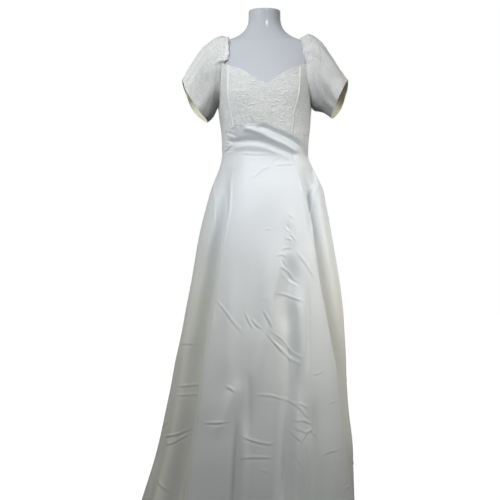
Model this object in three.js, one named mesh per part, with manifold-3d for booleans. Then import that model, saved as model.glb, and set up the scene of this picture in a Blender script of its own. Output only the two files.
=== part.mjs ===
// Floor-length satin wedding dress with short puffed sleeves, on a limbless dress form and its stand.
// Millimetres, +Z up. The front faces -Y. Left and right are the viewer's, so left is -X.
// Angles are degrees round the gown: 0 at the centre front, +90 at the right side, 180 at the back.
import * as THREE from 'three';
import { mergeVertices } from 'three/addons/utils/BufferGeometryUtils.js';
import Module from 'manifold-3d';

const wasm = await Module();
wasm.setup();

// Cloth and seams
const WALL = 2; // satin, interlining and lining, sewn as one wall
const SEAM_GAP = 0.3; // between two cut pieces
const SQUARENESS = 0.04; // how far a section swells at its four corners
const SIDE_SEAM = 97; // angle of the side seams
const BACK_SEAM = 144; // angle of the seams between the side-back and centre-back pieces
const PIPING = { radius: 1.5, sides: 6 }; // the cord sewn into each armhole
const EDGE_AT_PIPING = PIPING.radius + SEAM_GAP; // how far a cut edge stands from the cord's middle

// The gown's outer half-widths and depths at each height, as worn
const GOWN = [
  { z: 0, left: 390, right: 290, front: 248, back: 335 },
  { z: 100, left: 358, right: 280, front: 233, back: 302 },
  { z: 190, left: 331, right: 275, front: 221, back: 276 },
  { z: 313, left: 304, right: 261, front: 206, back: 245 },
  { z: 499, left: 267, right: 249, front: 184, back: 209 },
  { z: 663, left: 234, right: 236, front: 166, back: 186 },
  { z: 831, left: 205, right: 211, front: 149, back: 167 },
  { z: 942, left: 179, right: 191, front: 133, back: 149 },
  { z: 989, left: 165, right: 181, front: 123, back: 136 },
  { z: 1040, left: 144, right: 156, front: 108, back: 116 },
  { z: 1085, left: 132, right: 137, front: 98, back: 102 },
  { z: 1119, left: 132, right: 136, front: 97, back: 98 },
  { z: 1156, left: 133, right: 139, front: 102, back: 100 },
  { z: 1228, left: 142, right: 144, front: 117, back: 110 },
  { z: 1290, left: 147, right: 148, front: 121, back: 117 },
  { z: 1350, left: 158, right: 158, front: 108, back: 117 },
  { z: 1400, left: 160, right: 160, front: 90, back: 106 },
];

// The princess seams, which run from the neckline to the floor at the edges of the front panel
const PRINCESS = [
  { z: 0, left: -36.5, right: 71 },
  { z: 46, left: -37, right: 69 },
  { z: 118, left: -38.5, right: 64.5 },
  { z: 212, left: -39, right: 60 },
  { z: 340, left: -39, right: 58 },
  { z: 450, left: -39.5, right: 55 },
  { z: 531, left: -39, right: 50 },
  { z: 660, left: -38, right: 43.5 },
  { z: 755, left: -37, right: 41 },
  { z: 848, left: -35.5, right: 39.5 },
  { z: 904, left: -35, right: 38.5 },
  { z: 1010, left: -37.5, right: 37 },
  { z: 1118, left: -41.5, right: 36.5 },
  { z: 1168, left: -45.5, right: 37 },
  { z: 1215, left: -47, right: 38.5 },
  { z: 1268, left: -48.8, right: 42.5 },
  { z: 1300, left: -48, right: 43.6 },
  { z: 1360, left: -45, right: 43 },
];

// The seam under the bodice: level at the sides and back, and a raised point at the centre front
const UNDERBUST_SEAM = [
  { angle: -180, z: 1160 },
  { angle: -90, z: 1159 },
  { angle: -60, z: 1158 },
  { angle: -45, z: 1168 },
  { angle: -19, z: 1179 },
  { angle: -5, z: 1182 },
  { angle: 1, z: 1180.5 },
  { angle: 12, z: 1170.5 },
  { angle: 25, z: 1158 },
  { angle: 38, z: 1148.5 },
  { angle: 45, z: 1144 },
  { angle: 54, z: 1149 },
  { angle: 72, z: 1159 },
  { angle: 180, z: 1160 },
];

// The bodice's top edge, the same on both sides: sweetheart, armhole, back of the neck
const SWEETHEART = [
  { angle: 0, z: 1300 },
  { angle: 8, z: 1309 },
  { angle: 15, z: 1322 },
  { angle: 22, z: 1337 },
  { angle: 29, z: 1347 },
  { angle: 40, z: 1357 },
  { angle: 49, z: 1366 },
];
const ARMHOLE = [
  { angle: 49, z: 1366 },
  { angle: 57, z: 1307 },
  { angle: 67, z: 1272 },
  { angle: 78, z: 1250 },
  { angle: 90, z: 1243 },
  { angle: 102, z: 1250 },
  { angle: 113, z: 1272 },
  { angle: 123, z: 1307 },
  { angle: 131, z: 1362 },
];
const BACK_NECK = [
  { angle: 131, z: 1362 },
  { angle: 145, z: 1358 },
  { angle: 160, z: 1350 },
  { angle: 180, z: 1346 },
];
const ARMHOLE_FRONT = ARMHOLE[0].angle;
const ARMHOLE_BACK = ARMHOLE[ARMHOLE.length - 1].angle;

// The two fullnesses of the bust, which the princess seams shape
const BUST = { angle: 34, z: 1272, height: 10, halfAngle: 17, halfHeight: 42 };

// The deep folds that fall from the hips beside the front panel: how deep, and where beyond the seam
const EDGE_FOLDS = [
  { z: 0, left: 52, right: 30, leftCentre: 46, rightCentre: 34, inner: 24, outer: 50 },
  { z: 300, left: 48, right: 40, leftCentre: 38, rightCentre: 34, inner: 20, outer: 42 },
  { z: 600, left: 38, right: 38, leftCentre: 28, rightCentre: 28, inner: 15, outer: 30 },
  { z: 750, left: 30, right: 34, leftCentre: 22, rightCentre: 24, inner: 12, outer: 24 },
  { z: 880, left: 22, right: 30, leftCentre: 18, rightCentre: 26, inner: 10, outer: 18 },
  { z: 950, left: 15, right: 22, leftCentre: 22, rightCentre: 28, inner: 12, outer: 18 },
  { z: 1010, left: 5, right: 7, leftCentre: 26, rightCentre: 28, inner: 14, outer: 20 },
  { z: 1060, left: 0, right: 0, leftCentre: 26, rightCentre: 28, inner: 14, outer: 20 },
];

// Soft flutes that open towards the hem: place, how it drifts by the flute's top, top, depth, half-width
const HEM_FLUTES = [
  { angle: -15, drift: -2, top: 600, depth: 13, half: 7 },
  { angle: 3.5, drift: 10, top: 480, depth: 14, half: 6 },
  { angle: 34, drift: -3, top: 420, depth: 9, half: 8 },
  { angle: -72, drift: 4, top: 560, depth: 16, half: 9 },
  { angle: -106, drift: 3, top: 640, depth: 24, half: 9 },
  { angle: 106, drift: -3, top: 640, depth: 22, half: 9 },
  { angle: -131, drift: 3, top: 900, depth: 38, half: 8 },
  { angle: 131, drift: -3, top: 900, depth: 36, half: 8 },
  { angle: -157, drift: 2, top: 840, depth: 34, half: 8 },
  { angle: 157, drift: -2, top: 860, depth: 36, half: 8 },
];
const FLUTE_OPENING = 1.2; // 1 for a flute that opens evenly to the hem, more for one that opens late

// The large slanting folds across the waist, as paths of x and z on the front
const WAIST_FOLDS = [
  {
    height: -6,
    half: 8,
    path: [[-9, 1172], [21, 1162], [60, 1145], [90, 1132], [114, 1112], [130, 1086]],
  },
  { height: 6, half: 9, path: [[-54, 1166], [-9, 1150], [27, 1131], [60, 1118], [90, 1100]] },
  { height: -7, half: 9, path: [[-96, 1127], [-54, 1130], [-21, 1128], [15, 1116], [48, 1102], [84, 1089]] },
  { height: 2, half: 9, path: [[-84, 1110], [-51, 1112], [3, 1105], [48, 1088], [72, 1080]] },
];
const WAIST_FOLD_FADE = 14; // the folds die out this far below the seam

// Each sleeve: the lines along its top and underside, and its half-depth, from armhole to hem
const SLEEVES = {
  left: [
    { along: 0, topOut: 110, topUp: 1456, lowOut: 146, lowUp: 1244, depth: 68 },
    { along: 0.2, topOut: 137, topUp: 1461, lowOut: 149, lowUp: 1234, depth: 81 },
    { along: 0.4, topOut: 172, topUp: 1441, lowOut: 152, lowUp: 1226, depth: 88 },
    { along: 0.6, topOut: 203, topUp: 1410, lowOut: 157, lowUp: 1216, depth: 89 },
    { along: 0.8, topOut: 232, topUp: 1366, lowOut: 166, lowUp: 1206, depth: 85 },
    { along: 1, topOut: 256, topUp: 1325, lowOut: 176, lowUp: 1197, depth: 80 },
  ],
  right: [
    { along: 0, topOut: 112, topUp: 1456, lowOut: 148, lowUp: 1244, depth: 68 },
    { along: 0.2, topOut: 140, topUp: 1466, lowOut: 151, lowUp: 1237, depth: 81 },
    { along: 0.4, topOut: 174, topUp: 1444, lowOut: 160, lowUp: 1233, depth: 88 },
    { along: 0.6, topOut: 204, topUp: 1403, lowOut: 173, lowUp: 1230, depth: 89 },
    { along: 0.8, topOut: 232, topUp: 1361, lowOut: 189, lowUp: 1223, depth: 85 },
    { along: 1, topOut: 259, topUp: 1321, lowOut: 207, lowUp: 1210, depth: 80 },
  ],
};
const SLEEVE_HEM = {
  left: { bulge: 13, tilt: 4 }, // how far the hem dips at its middle, and how far its back hangs out
  right: { bulge: 5, tilt: 12 },
  onset: 4, // the higher, the nearer the hem the dip begins
};
const SLEEVE_RINGS = [0, 0.07, 0.18, 0.32, 0.47, 0.62, 0.77, 0.9, 1];
const SHOULDER_BLEND = 0.3; // the armhole's own outline is lost this far along the sleeve
const SHOULDER_CLEARANCE = 1; // between the ends of the gathered edge and the bodice's corners

// The gathered edge of each sleeve, which lies over the shoulder from the front corner to the back
const SHOULDER_EDGE_BACK = [
  { along: 0.48, out: 111, y: 0, up: 1456 },
  { along: 0.68, out: 114, y: 54, up: 1441 },
  { along: 0.81, out: 118, y: 76, up: 1412 },
  { along: 0.9, out: 121.5, y: 81, up: 1390 },
];
const SHOULDER_EDGE = {
  left: [
    { along: 0.06, out: 114.5, y: -82, up: 1377 },
    { along: 0.12, out: 110, y: -80, up: 1392 },
    { along: 0.21, out: 111, y: -73, up: 1420 },
    { along: 0.33, out: 113, y: -52, up: 1447 },
    ...SHOULDER_EDGE_BACK,
  ],
  right: [
    { along: 0.09, out: 121.5, y: -72, up: 1390 },
    { along: 0.17, out: 118, y: -68, up: 1412 },
    { along: 0.3, out: 114, y: -48, up: 1441 },
    ...SHOULDER_EDGE_BACK,
  ],
};
const GATHERS = { count: 9, height: 2.2, reach: 0.4 };

// Soft ridges and hollows of each sleeve: around is 0 at its top, 90 at its front and -90 at its back
const SLEEVE_FOLDS = {
  left: [
    { height: 7, around: 62, half: 13, start: 0.35, end: 1 },
    { height: -7, around: 40, half: 12, start: 0.15, end: 0.9 },
    { height: -6, around: 96, half: 14, start: 0.2, end: 0.95 },
    { height: -6, around: -60, half: 16, start: 0.2, end: 1 },
    { height: 6, around: -95, half: 15, start: 0.3, end: 1 },
  ],
  right: [
    { height: 7, around: 52, half: 13, start: 0.1, end: 0.7 },
    { height: -7, around: 78, half: 13, start: 0.1, end: 0.75 },
    { height: -5, around: 118, half: 12, start: 0.35, end: 1 },
    { height: -6, around: -65, half: 16, start: 0.2, end: 1 },
    { height: 6, around: -100, half: 15, start: 0.3, end: 1 },
  ],
};
const SLEEVE_FOLD_RAMP = 0.28; // the share of the sleeve in which a fold comes and goes

// The form: a smooth torso with a neck, clear of the cloth but for the bust, where the bodice lies on it
const FORM = [
  { z: 830, half: 118, front: 80, back: 86 },
  { z: 836, half: 140, front: 96, back: 102 },
  { z: 850, half: 150, front: 104, back: 110 },
  { z: 900, half: 155, front: 109, back: 117 },
  { z: 950, half: 149, front: 106, back: 113 },
  { z: 1000, half: 137, front: 98, back: 103 },
  { z: 1060, half: 121, front: 86, back: 88 },
  { z: 1110, half: 117, front: 80, back: 84 },
  { z: 1145, half: 120, front: 84, back: 88 },
  { z: 1180, half: 129, front: 99, back: 98 },
  { z: 1228, half: 139, front: 114.2, back: 107.2 },
  { z: 1290, half: 142.5, front: 116.8, back: 112.5 },
  { z: 1320, half: 148.5, front: 110, back: 112 },
  { z: 1350, half: 157, front: 100.5, back: 109.5 },
  { z: 1376, half: 163, front: 93, back: 104 },
  { z: 1400, half: 163, front: 86, back: 97 },
  { z: 1420, half: 158, front: 79, back: 88 },
  { z: 1433, half: 148, front: 74, back: 80 },
  { z: 1442, half: 130, front: 69, back: 73 },
  { z: 1449, half: 110, front: 64, back: 67 },
  { z: 1457, half: 90, front: 60, back: 62 },
  { z: 1468, half: 73, front: 56, back: 58 },
  { z: 1481, half: 60, front: 53, back: 55 },
  { z: 1498, half: 52, front: 50.5, back: 52 },
  { z: 1515, half: 49.5, front: 49.5, back: 51 },
  { z: 1537, half: 49, front: 49, back: 50.5 },
  { z: 1540, half: 46, front: 46, back: 47.5 },
];
const FORM_COLUMNS = 40;

// The stand: a round plate on the floor, a collar and a pole up into the form
const BASE = { radius: 160, thickness: 8, sides: 48 };
const COLLAR = { radius: 27, height: 34, sides: 24 };
const POLE = { radius: 14, sides: 20 };
const FORM_BOTTOM = FORM[0].z;

// Columns of the cloth, as angles at the bodice's top edge, and rows of the skirt, as heights
const FRONT_COLUMNS = [0, 0.053, 0.13, 0.21, 0.29, 0.37, 0.44, 0.5, 0.56, 0.63, 0.71, 0.79, 0.87, 0.947, 1];
const SIDE_ANGLES = [ARMHOLE_FRONT, 52.5, 56, 60, 64, 68, 73, 79, 85, 91, SIDE_SEAM];
const SIDE_BACK_ANGLES = [SIDE_SEAM, 103, 109, 115, 120, 124, 128, ARMHOLE_BACK, 135, 139, BACK_SEAM];
const BACK_ANGLES = [BACK_SEAM, 148, 152, 156, 160, 165, 170, 175, 180];
const BODICE_ROWS = 7;
const SKIRT_ROWS = [
  1165, 1147, 1130, 1113, 1096, 1078, 1056, 1030, 998, 960, 910, 850, 770, 680, 580, 470, 350, 230, 110, 0,
];
const SKIRT_LEVEL = 1000; // below this height the skirt's rows are level
const SHOULDER_COLUMNS = 27;
const ANGLE_STEP = 0.5; // for slopes along a section
const HEIGHT_STEP = 2; // for slopes up the cloth
const SETTLING_PASSES = 6; // until a column's angle and height agree

// The princess seams' boning casings, sewn beside the bodice's seams
const CASING = { lift: 0.8, thickness: 1.2, inner: 0.12, outer: 0.86 };

// The centre-back zip's slider and its pull tab, which swings on the slider's pin
const SLIDER = { width: 7, height: 11, thickness: 2.4, below: 9 };
const PIN = { radius: 0.7, up: 2, sides: 16 };
const CHEEK = { inner: 2.2, outer: 3.3, half: 1.5, root: 0.5 };
const PULL = { width: 3.8, length: 21, thickness: 1.4, eye: 2.1, bore: 1.1, arcs: 10 };

const COLOURS = {
  satin: 0xe3e4e2,
  lace: 0xdcdfdc,
  casing: 0xe6e8e6,
  plastic: 0xb4b7c4,
  steel: 0xb9bbbd,
  nickel: 0xd4d2cc,
};

// Tables and small helpers

const radians = THREE.MathUtils.degToRad;
const degrees = THREE.MathUtils.radToDeg;
const mix = THREE.MathUtils.lerp;
const bell = (distance, half) => Math.exp(-((distance / half) ** 2));
const between = (value) => THREE.MathUtils.clamp(value, 0, 1);

// A value of a table's column, on a smooth curve through its rows
function smooth(rows, key, column, at) {
  const last = rows.length - 1;
  const secant = (i) => (rows[i + 1][column] - rows[i][column]) / (rows[i + 1][key] - rows[i][key]);
  const slope = (i) => (secant(Math.max(i - 1, 0)) + secant(Math.min(i, last - 1))) / 2;
  const x = THREE.MathUtils.clamp(at, rows[0][key], rows[last][key]);
  let i = 0;
  while (i < last - 1 && rows[i + 1][key] < x) i += 1;
  const span = rows[i + 1][key] - rows[i][key];
  const t = (x - rows[i][key]) / span;
  const rise = 3 * t ** 2 - 2 * t ** 3;
  const leave = (t ** 3 - 2 * t ** 2 + t) * span * slope(i);
  const arrive = (t ** 3 - t ** 2) * span * slope(i + 1);
  return mix(rows[i][column], rows[i + 1][column], rise) + leave + arrive;
}

// The shortest distance from a point to a path of points, all in one plane
function distanceToPath(x, z, path) {
  let nearest = Infinity;
  for (let i = 0; i < path.length - 1; i += 1) {
    const [ax, az] = path[i];
    const [bx, bz] = path[i + 1];
    const dot = (x - ax) * (bx - ax) + (z - az) * (bz - az);
    const along = between(dot / ((bx - ax) ** 2 + (bz - az) ** 2));
    nearest = Math.min(nearest, Math.hypot(x - mix(ax, bx, along), z - mix(az, bz, along)));
  }
  return nearest;
}

// The gown's surface

const underbust = (angle) => smooth(UNDERBUST_SEAM, 'angle', 'z', angle);
const princess = (side, z) => smooth(PRINCESS, 'z', side, z);

function topEdge(angle) {
  const size = Math.abs(angle);
  if (size <= ARMHOLE_FRONT) return smooth(SWEETHEART, 'angle', 'z', size);
  if (size <= ARMHOLE_BACK) return smooth(ARMHOLE, 'angle', 'z', size);
  return smooth(BACK_NECK, 'angle', 'z', size);
}

// A point on a section with the given half-widths and depths
function onSection(angle, z, left, right, front, back) {
  const sine = Math.sin(radians(angle));
  const cosine = Math.cos(radians(angle));
  const swell = 1 + SQUARENESS * Math.sin(radians(2 * angle)) ** 2;
  const x = (sine < 0 ? left : right) * sine * swell;
  const y = -(cosine > 0 ? front : back) * cosine * swell;
  return new THREE.Vector3(x, y, z);
}

function skin(angle, z) {
  const size = (column) => smooth(GOWN, 'z', column, z);
  return onSection(angle, z, size('left'), size('right'), size('front'), size('back'));
}

// The level direction that points out of a surface at an angle and height
function outward(surface, angle, z) {
  const tangent = surface(angle + ANGLE_STEP, z).sub(surface(angle - ANGLE_STEP, z));
  return new THREE.Vector3(tangent.y, -tangent.x, 0).normalize();
}

function bustLift(angle, z) {
  const rise = bell(Math.abs(angle) - BUST.angle, BUST.halfAngle) * bell(z - BUST.z, BUST.halfHeight);
  return BUST.height * rise;
}

function edgeFold(angle, z) {
  if (z > EDGE_FOLDS[EDGE_FOLDS.length - 1].z) return 0;
  const side = angle < 0 ? 'left' : 'right';
  const value = (column) => smooth(EDGE_FOLDS, 'z', column, z);
  const radius = (smooth(GOWN, 'z', side, z) + smooth(GOWN, 'z', 'front', z)) / 2;
  const beyond = radians(Math.abs(angle) - Math.abs(princess(side, z))) * radius;
  const from = beyond - value(`${side}Centre`);
  return -value(side) * bell(from, from < 0 ? value('inner') : value('outer'));
}

function hemFlutes(angle, z) {
  let lift = 0;
  for (const flute of HEM_FLUTES) {
    if (z >= flute.top) continue;
    const open = 1 - z / flute.top;
    const away = angle - flute.angle - flute.drift * (1 - open);
    lift -= flute.depth * open ** FLUTE_OPENING * bell(away, flute.half);
  }
  return lift;
}

function waistFolds(angle, z) {
  if (Math.abs(angle) > 90 || z < SKIRT_LEVEL) return 0;
  const x = skin(angle, z).x;
  const fade = between((underbust(angle) - z) / WAIST_FOLD_FADE);
  let lift = 0;
  for (const fold of WAIST_FOLDS) lift += fold.height * bell(distanceToPath(x, z, fold.path), fold.half);
  return lift * fade;
}

function cloth(angle, z) {
  const lift = bustLift(angle, z) + edgeFold(angle, z) + hemFlutes(angle, z) + waistFolds(angle, z);
  return skin(angle, z).addScaledVector(outward(skin, angle, z), lift);
}

// The direction square to the cloth, outwards
function clothNormal(angle, z) {
  const round = cloth(angle + ANGLE_STEP, z).sub(cloth(angle - ANGLE_STEP, z));
  const up = cloth(angle, z + HEIGHT_STEP).sub(cloth(angle, z - HEIGHT_STEP));
  return round.cross(up).normalize();
}

// Turning points into closed solids

function facingOut(positions, faces) {
  const corner = (i) => new THREE.Vector3().fromArray(positions, 3 * i);
  let volume = 0;
  for (const [a, b, c] of faces) volume += corner(a).dot(corner(b).cross(corner(c)));
  const turned = volume < 0 ? faces.map(([a, b, c]) => [a, c, b]) : faces;
  const geometry = new THREE.BufferGeometry();
  geometry.setAttribute('position', new THREE.Float32BufferAttribute(positions, 3));
  geometry.setIndex(turned.flat());
  geometry.computeVertexNormals();
  return geometry;
}

// A wall between an outer and an inner grid of points; a round wall's last column joins its first
function wallBetween(outer, inner, round = false) {
  const rows = outer.length;
  const columns = outer[0].length;
  const positions = [...outer.flat(), ...inner.flat()].flatMap((point) => point.toArray());
  const out = (r, c) => r * columns + (c % columns);
  const back = (r, c) => rows * columns + out(r, c);
  const faces = [];
  const quad = (a, b, c, d) => faces.push([a, b, c], [a, c, d]);
  const cells = round ? columns : columns - 1;
  for (let r = 0; r < rows - 1; r += 1) {
    for (let c = 0; c < cells; c += 1) {
      quad(out(r, c), out(r, c + 1), out(r + 1, c + 1), out(r + 1, c));
      quad(back(r, c), back(r + 1, c), back(r + 1, c + 1), back(r, c + 1));
    }
  }
  for (let c = 0; c < cells; c += 1) {
    quad(out(0, c), back(0, c), back(0, c + 1), out(0, c + 1));
    quad(out(rows - 1, c), out(rows - 1, c + 1), back(rows - 1, c + 1), back(rows - 1, c));
  }
  if (!round) {
    for (let r = 0; r < rows - 1; r += 1) {
      quad(out(r, 0), out(r + 1, 0), back(r + 1, 0), back(r, 0));
      quad(out(r, cells), back(r, cells), back(r + 1, cells), out(r + 1, cells));
    }
  }
  return facingOut(positions, faces);
}

// A solid through a stack of rings, closed by a flat fan at each end
function solidThrough(rings) {
  const columns = rings[0].length;
  const middle = (ring) => ring.reduce((sum, p) => sum.add(p), new THREE.Vector3()).divideScalar(columns);
  const points = [...rings.flat(), middle(rings[0]), middle(rings[rings.length - 1])];
  const at = (r, c) => r * columns + (c % columns);
  const last = rings.length - 1;
  const [firstMiddle, lastMiddle] = [points.length - 2, points.length - 1];
  const faces = [];
  for (let c = 0; c < columns; c += 1) {
    for (let r = 0; r < last; r += 1) {
      faces.push([at(r, c), at(r, c + 1), at(r + 1, c + 1)], [at(r, c), at(r + 1, c + 1), at(r + 1, c)]);
    }
    faces.push([firstMiddle, at(0, c + 1), at(0, c)], [lastMiddle, at(last, c), at(last, c + 1)]);
  }
  return facingOut(points.flatMap((point) => point.toArray()), faces);
}

// A round cord through points, with square ends
function cordThrough(points, radius, sides) {
  const rings = points.map((point, i) => {
    const ahead = points[Math.min(i + 1, points.length - 1)];
    const behind = points[Math.max(i - 1, 0)];
    const run = ahead.clone().sub(behind).normalize();
    const across = new THREE.Vector3(0, 0, 1).cross(run).normalize();
    const up = run.clone().cross(across);
    return Array.from({ length: sides }, (_, k) => {
      const turn = (2 * Math.PI * k) / sides;
      return point
        .clone()
        .addScaledVector(across, radius * Math.cos(turn))
        .addScaledVector(up, radius * Math.sin(turn));
    });
  });
  return solidThrough(rings);
}

function manifoldOf(geometry) {
  const bare = new THREE.BufferGeometry();
  bare.setAttribute('position', geometry.getAttribute('position'));
  if (geometry.index) bare.setIndex(geometry.index);
  const merged = mergeVertices(bare);
  return new wasm.Manifold(
    new wasm.Mesh({
      numProp: 3,
      vertProperties: new Float32Array(merged.getAttribute('position').array),
      triVerts: new Uint32Array(merged.index.array),
    }),
  );
}

function joined(geometries) {
  const whole = geometries.map(manifoldOf).reduce((a, b) => a.add(b));
  const mesh = whole.getMesh();
  const geometry = new THREE.BufferGeometry();
  geometry.setAttribute('position', new THREE.Float32BufferAttribute(mesh.vertProperties, 3));
  geometry.setIndex(Array.from(mesh.triVerts));
  geometry.computeVertexNormals();
  return geometry;
}

// Cut pieces of the bodice and skirt

// How many degrees hold a length of cloth at an angle and height
function degreesFor(length, angle, z) {
  const chord = cloth(angle + ANGLE_STEP, z).distanceTo(cloth(angle - ANGLE_STEP, z));
  return (2 * ANGLE_STEP * length) / chord;
}

// The angle and height at a share of the way between two borders, which are angles by height
function placeBetween(borders, share, heightOf) {
  let z = underbust(0);
  let angle = 0;
  for (let pass = 0; pass < SETTLING_PASSES; pass += 1) {
    const from = borders.from(z) + degreesFor(SEAM_GAP / 2, borders.from(z), z);
    const to = borders.to(z) - degreesFor(SEAM_GAP / 2, borders.to(z), z);
    angle = mix(from, to, share);
    z = heightOf(angle);
  }
  return { angle, z };
}

// A grid of cloth between two borders, with a row for each height function
function clothGrid(borders, shares, heights) {
  const outer = [];
  const inner = [];
  heights.forEach((heightOf, row) => {
    const isEnd = row === 0 || row === heights.length - 1;
    const outerRow = [];
    const innerRow = [];
    for (const share of shares) {
      const { angle, z } = placeBetween(borders, share, heightOf);
      const point = cloth(angle, z);
      const normal = isEnd ? outward(cloth, angle, z) : clothNormal(angle, z);
      outerRow.push(point);
      innerRow.push(point.clone().addScaledVector(normal, -WALL));
    }
    outer.push(outerRow);
    inner.push(innerRow);
  });
  return { outer, inner };
}

// The bodice's cut edge at the top, kept off the armhole's cord
function cutTopEdge(angle) {
  const size = Math.abs(angle);
  if (size < ARMHOLE_FRONT - ANGLE_STEP || size > ARMHOLE_BACK + ANGLE_STEP) return topEdge(angle);
  const within = (value) => THREE.MathUtils.clamp(value, ARMHOLE_FRONT, ARMHOLE_BACK);
  const z = topEdge(within(size));
  const [before, after] = [within(size - ANGLE_STEP), within(size + ANGLE_STEP)];
  const rise = topEdge(after) - topEdge(before);
  const run = skin(after, z).distanceTo(skin(before, z));
  return z - EDGE_AT_PIPING * Math.hypot(1, rise / run);
}

const bodiceHeights = Array.from({ length: BODICE_ROWS + 1 }, (_, row) => (angle) =>
  mix(underbust(angle) + SEAM_GAP / 2, cutTopEdge(angle), row / BODICE_ROWS));

const skirtHeights = SKIRT_ROWS.map((z) => (angle) => {
  const toSeam = underbust(angle) - SEAM_GAP / 2 - SKIRT_ROWS[0];
  return z + toSeam * Math.max(0, (z - SKIRT_LEVEL) / (SKIRT_ROWS[0] - SKIRT_LEVEL));
});

// Shares of a piece's width, from angles at the armhole
const sharesOf = (angles) =>
  angles.map((angle) => (angle - angles[0]) / (angles[angles.length - 1] - angles[0]));
function sideShares(side) {
  const seam = Math.abs(princess(side, ARMHOLE[0].z));
  return sharesOf([seam, mix(seam, ARMHOLE_FRONT, 0.5), ...SIDE_ANGLES]);
}
const flipped = (shares) => shares.map((share) => 1 - share).reverse();

const PIECES = {
  front: {
    borders: { from: (z) => princess('left', z), to: (z) => princess('right', z) },
    shares: FRONT_COLUMNS,
  },
  side_left: {
    borders: { from: () => -SIDE_SEAM, to: (z) => princess('left', z) },
    shares: flipped(sideShares('left')),
  },
  side_right: {
    borders: { from: (z) => princess('right', z), to: () => SIDE_SEAM },
    shares: sideShares('right'),
  },
  side_back_left: {
    borders: { from: () => -BACK_SEAM, to: () => -SIDE_SEAM },
    shares: flipped(sharesOf(SIDE_BACK_ANGLES)),
  },
  side_back_right: {
    borders: { from: () => SIDE_SEAM, to: () => BACK_SEAM },
    shares: sharesOf(SIDE_BACK_ANGLES),
  },
  back_left: {
    borders: { from: () => -180, to: () => -BACK_SEAM },
    shares: flipped(sharesOf(BACK_ANGLES)),
  },
  back_right: {
    borders: { from: () => BACK_SEAM, to: () => 180 },
    shares: sharesOf(BACK_ANGLES),
  },
};

function cutPiece(name, heights) {
  const { borders, shares } = PIECES[name];
  return clothGrid(borders, shares, heights);
}

// A boning casing: one column of the bodice's front, moved out
function casing(grid, first, second) {
  const out = (row, column) => grid.outer[row][column].clone().sub(grid.inner[row][column]).normalize();
  const lifted = (row, share, height) => {
    const way = out(row, first).lerp(out(row, second), share);
    return grid.outer[row][first].clone().lerp(grid.outer[row][second], share).addScaledVector(way, height);
  };
  const edges = [CASING.inner, CASING.outer];
  const at = (height) => grid.outer.map((_, row) => edges.map((share) => lifted(row, share, height)));
  return wallBetween(at(CASING.lift + CASING.thickness), at(CASING.lift));
}

// Armholes and sleeves

const sign = (side) => (side === 'left' ? -1 : 1);

// The angles of the bodice's own columns where they meet the armhole, so that all its edges run alike
function armholeAngles(side) {
  const borders = { from: (z) => Math.abs(princess(side, z)), to: () => SIDE_SEAM };
  const front = sideShares(side).slice(2).map((share) => placeBetween(borders, share, topEdge).angle);
  const back = SIDE_BACK_ANGLES.filter((angle) => angle > SIDE_SEAM && angle <= ARMHOLE_BACK);
  return [ARMHOLE_FRONT, ...front.slice(1), ...back];
}

const seamPoint = (side, angle) => cloth(sign(side) * angle, topEdge(angle));

function pipingCord(side) {
  const points = armholeAngles(side).map((angle) => {
    const into = outward(cloth, sign(side) * angle, topEdge(angle)).multiplyScalar(-WALL / 2);
    return seamPoint(side, angle).add(into);
  });
  return cordThrough(points, PIPING.radius, PIPING.sides);
}

// The sleeve's first ring: the armhole seam, then the gathered edge from the back corner to the front
function sleeveStart(side) {
  const corner = (angle, along) => {
    const point = seamPoint(side, angle);
    return { along, out: Math.abs(point.x), y: point.y, up: point.z };
  };
  const edge = [corner(ARMHOLE_FRONT, 0), ...SHOULDER_EDGE[side], corner(ARMHOLE_BACK, 1)];
  const armhole = armholeAngles(side).map((angle) => seamPoint(side, angle));
  const ring = armhole.map((point) => ({ point, gap: EDGE_AT_PIPING, edge: 0 }));
  for (let i = 1; i < SHOULDER_COLUMNS; i += 1) {
    const along = 1 - i / SHOULDER_COLUMNS;
    const value = (column) => smooth(edge, 'along', column, along);
    const point = new THREE.Vector3(sign(side) * value('out'), value('y'), value('up'));
    const atEnd = i === 1 || i === SHOULDER_COLUMNS - 1;
    ring.push({ point, gap: atEnd ? SHOULDER_CLEARANCE : 0, edge: along });
  }
  return ring;
}

// The sleeve's oval frame at a distance along it
function sleeveFrame(side, along) {
  const value = (column) => smooth(SLEEVES[side], 'along', column, along);
  const top = new THREE.Vector3(sign(side) * value('topOut'), 0, value('topUp'));
  const low = new THREE.Vector3(sign(side) * value('lowOut'), 0, value('lowUp'));
  const centre = top.clone().add(low).multiplyScalar(0.5);
  const half = top.clone().sub(low).multiplyScalar(0.5);
  const depth = value('depth');
  const axis = new THREE.Vector3(half.z, 0, -half.x).multiplyScalar(sign(side)).normalize();
  return { centre, half, depth, axis };
}

function sleeveOval(side, around, along) {
  const { centre, half, depth, axis } = sleeveFrame(side, along);
  const hem = SLEEVE_HEM[side];
  const front = Math.sin(radians(around));
  const dip = (hem.bulge * front ** 2 - hem.tilt * front) * along ** SLEEVE_HEM.onset;
  return centre
    .clone()
    .addScaledVector(half, Math.cos(radians(around)))
    .add(new THREE.Vector3(0, -depth * front, 0))
    .addScaledVector(axis, dip);
}

function sleeveLift(side, around, along, edge) {
  const past = (place) => THREE.MathUtils.smoothstep(along, place, place + SLEEVE_FOLD_RAMP);
  let lift = 0;
  for (const fold of SLEEVE_FOLDS[side]) {
    const open = past(fold.start) * (1 - past(fold.end));
    lift += fold.height * bell(around - fold.around, fold.half) * open;
  }
  const gathered = edge * (1 - edge) > 0 ? between(1 - along / GATHERS.reach) : 0;
  return lift + gathered * GATHERS.height * Math.sin(2 * Math.PI * GATHERS.count * edge);
}

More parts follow.
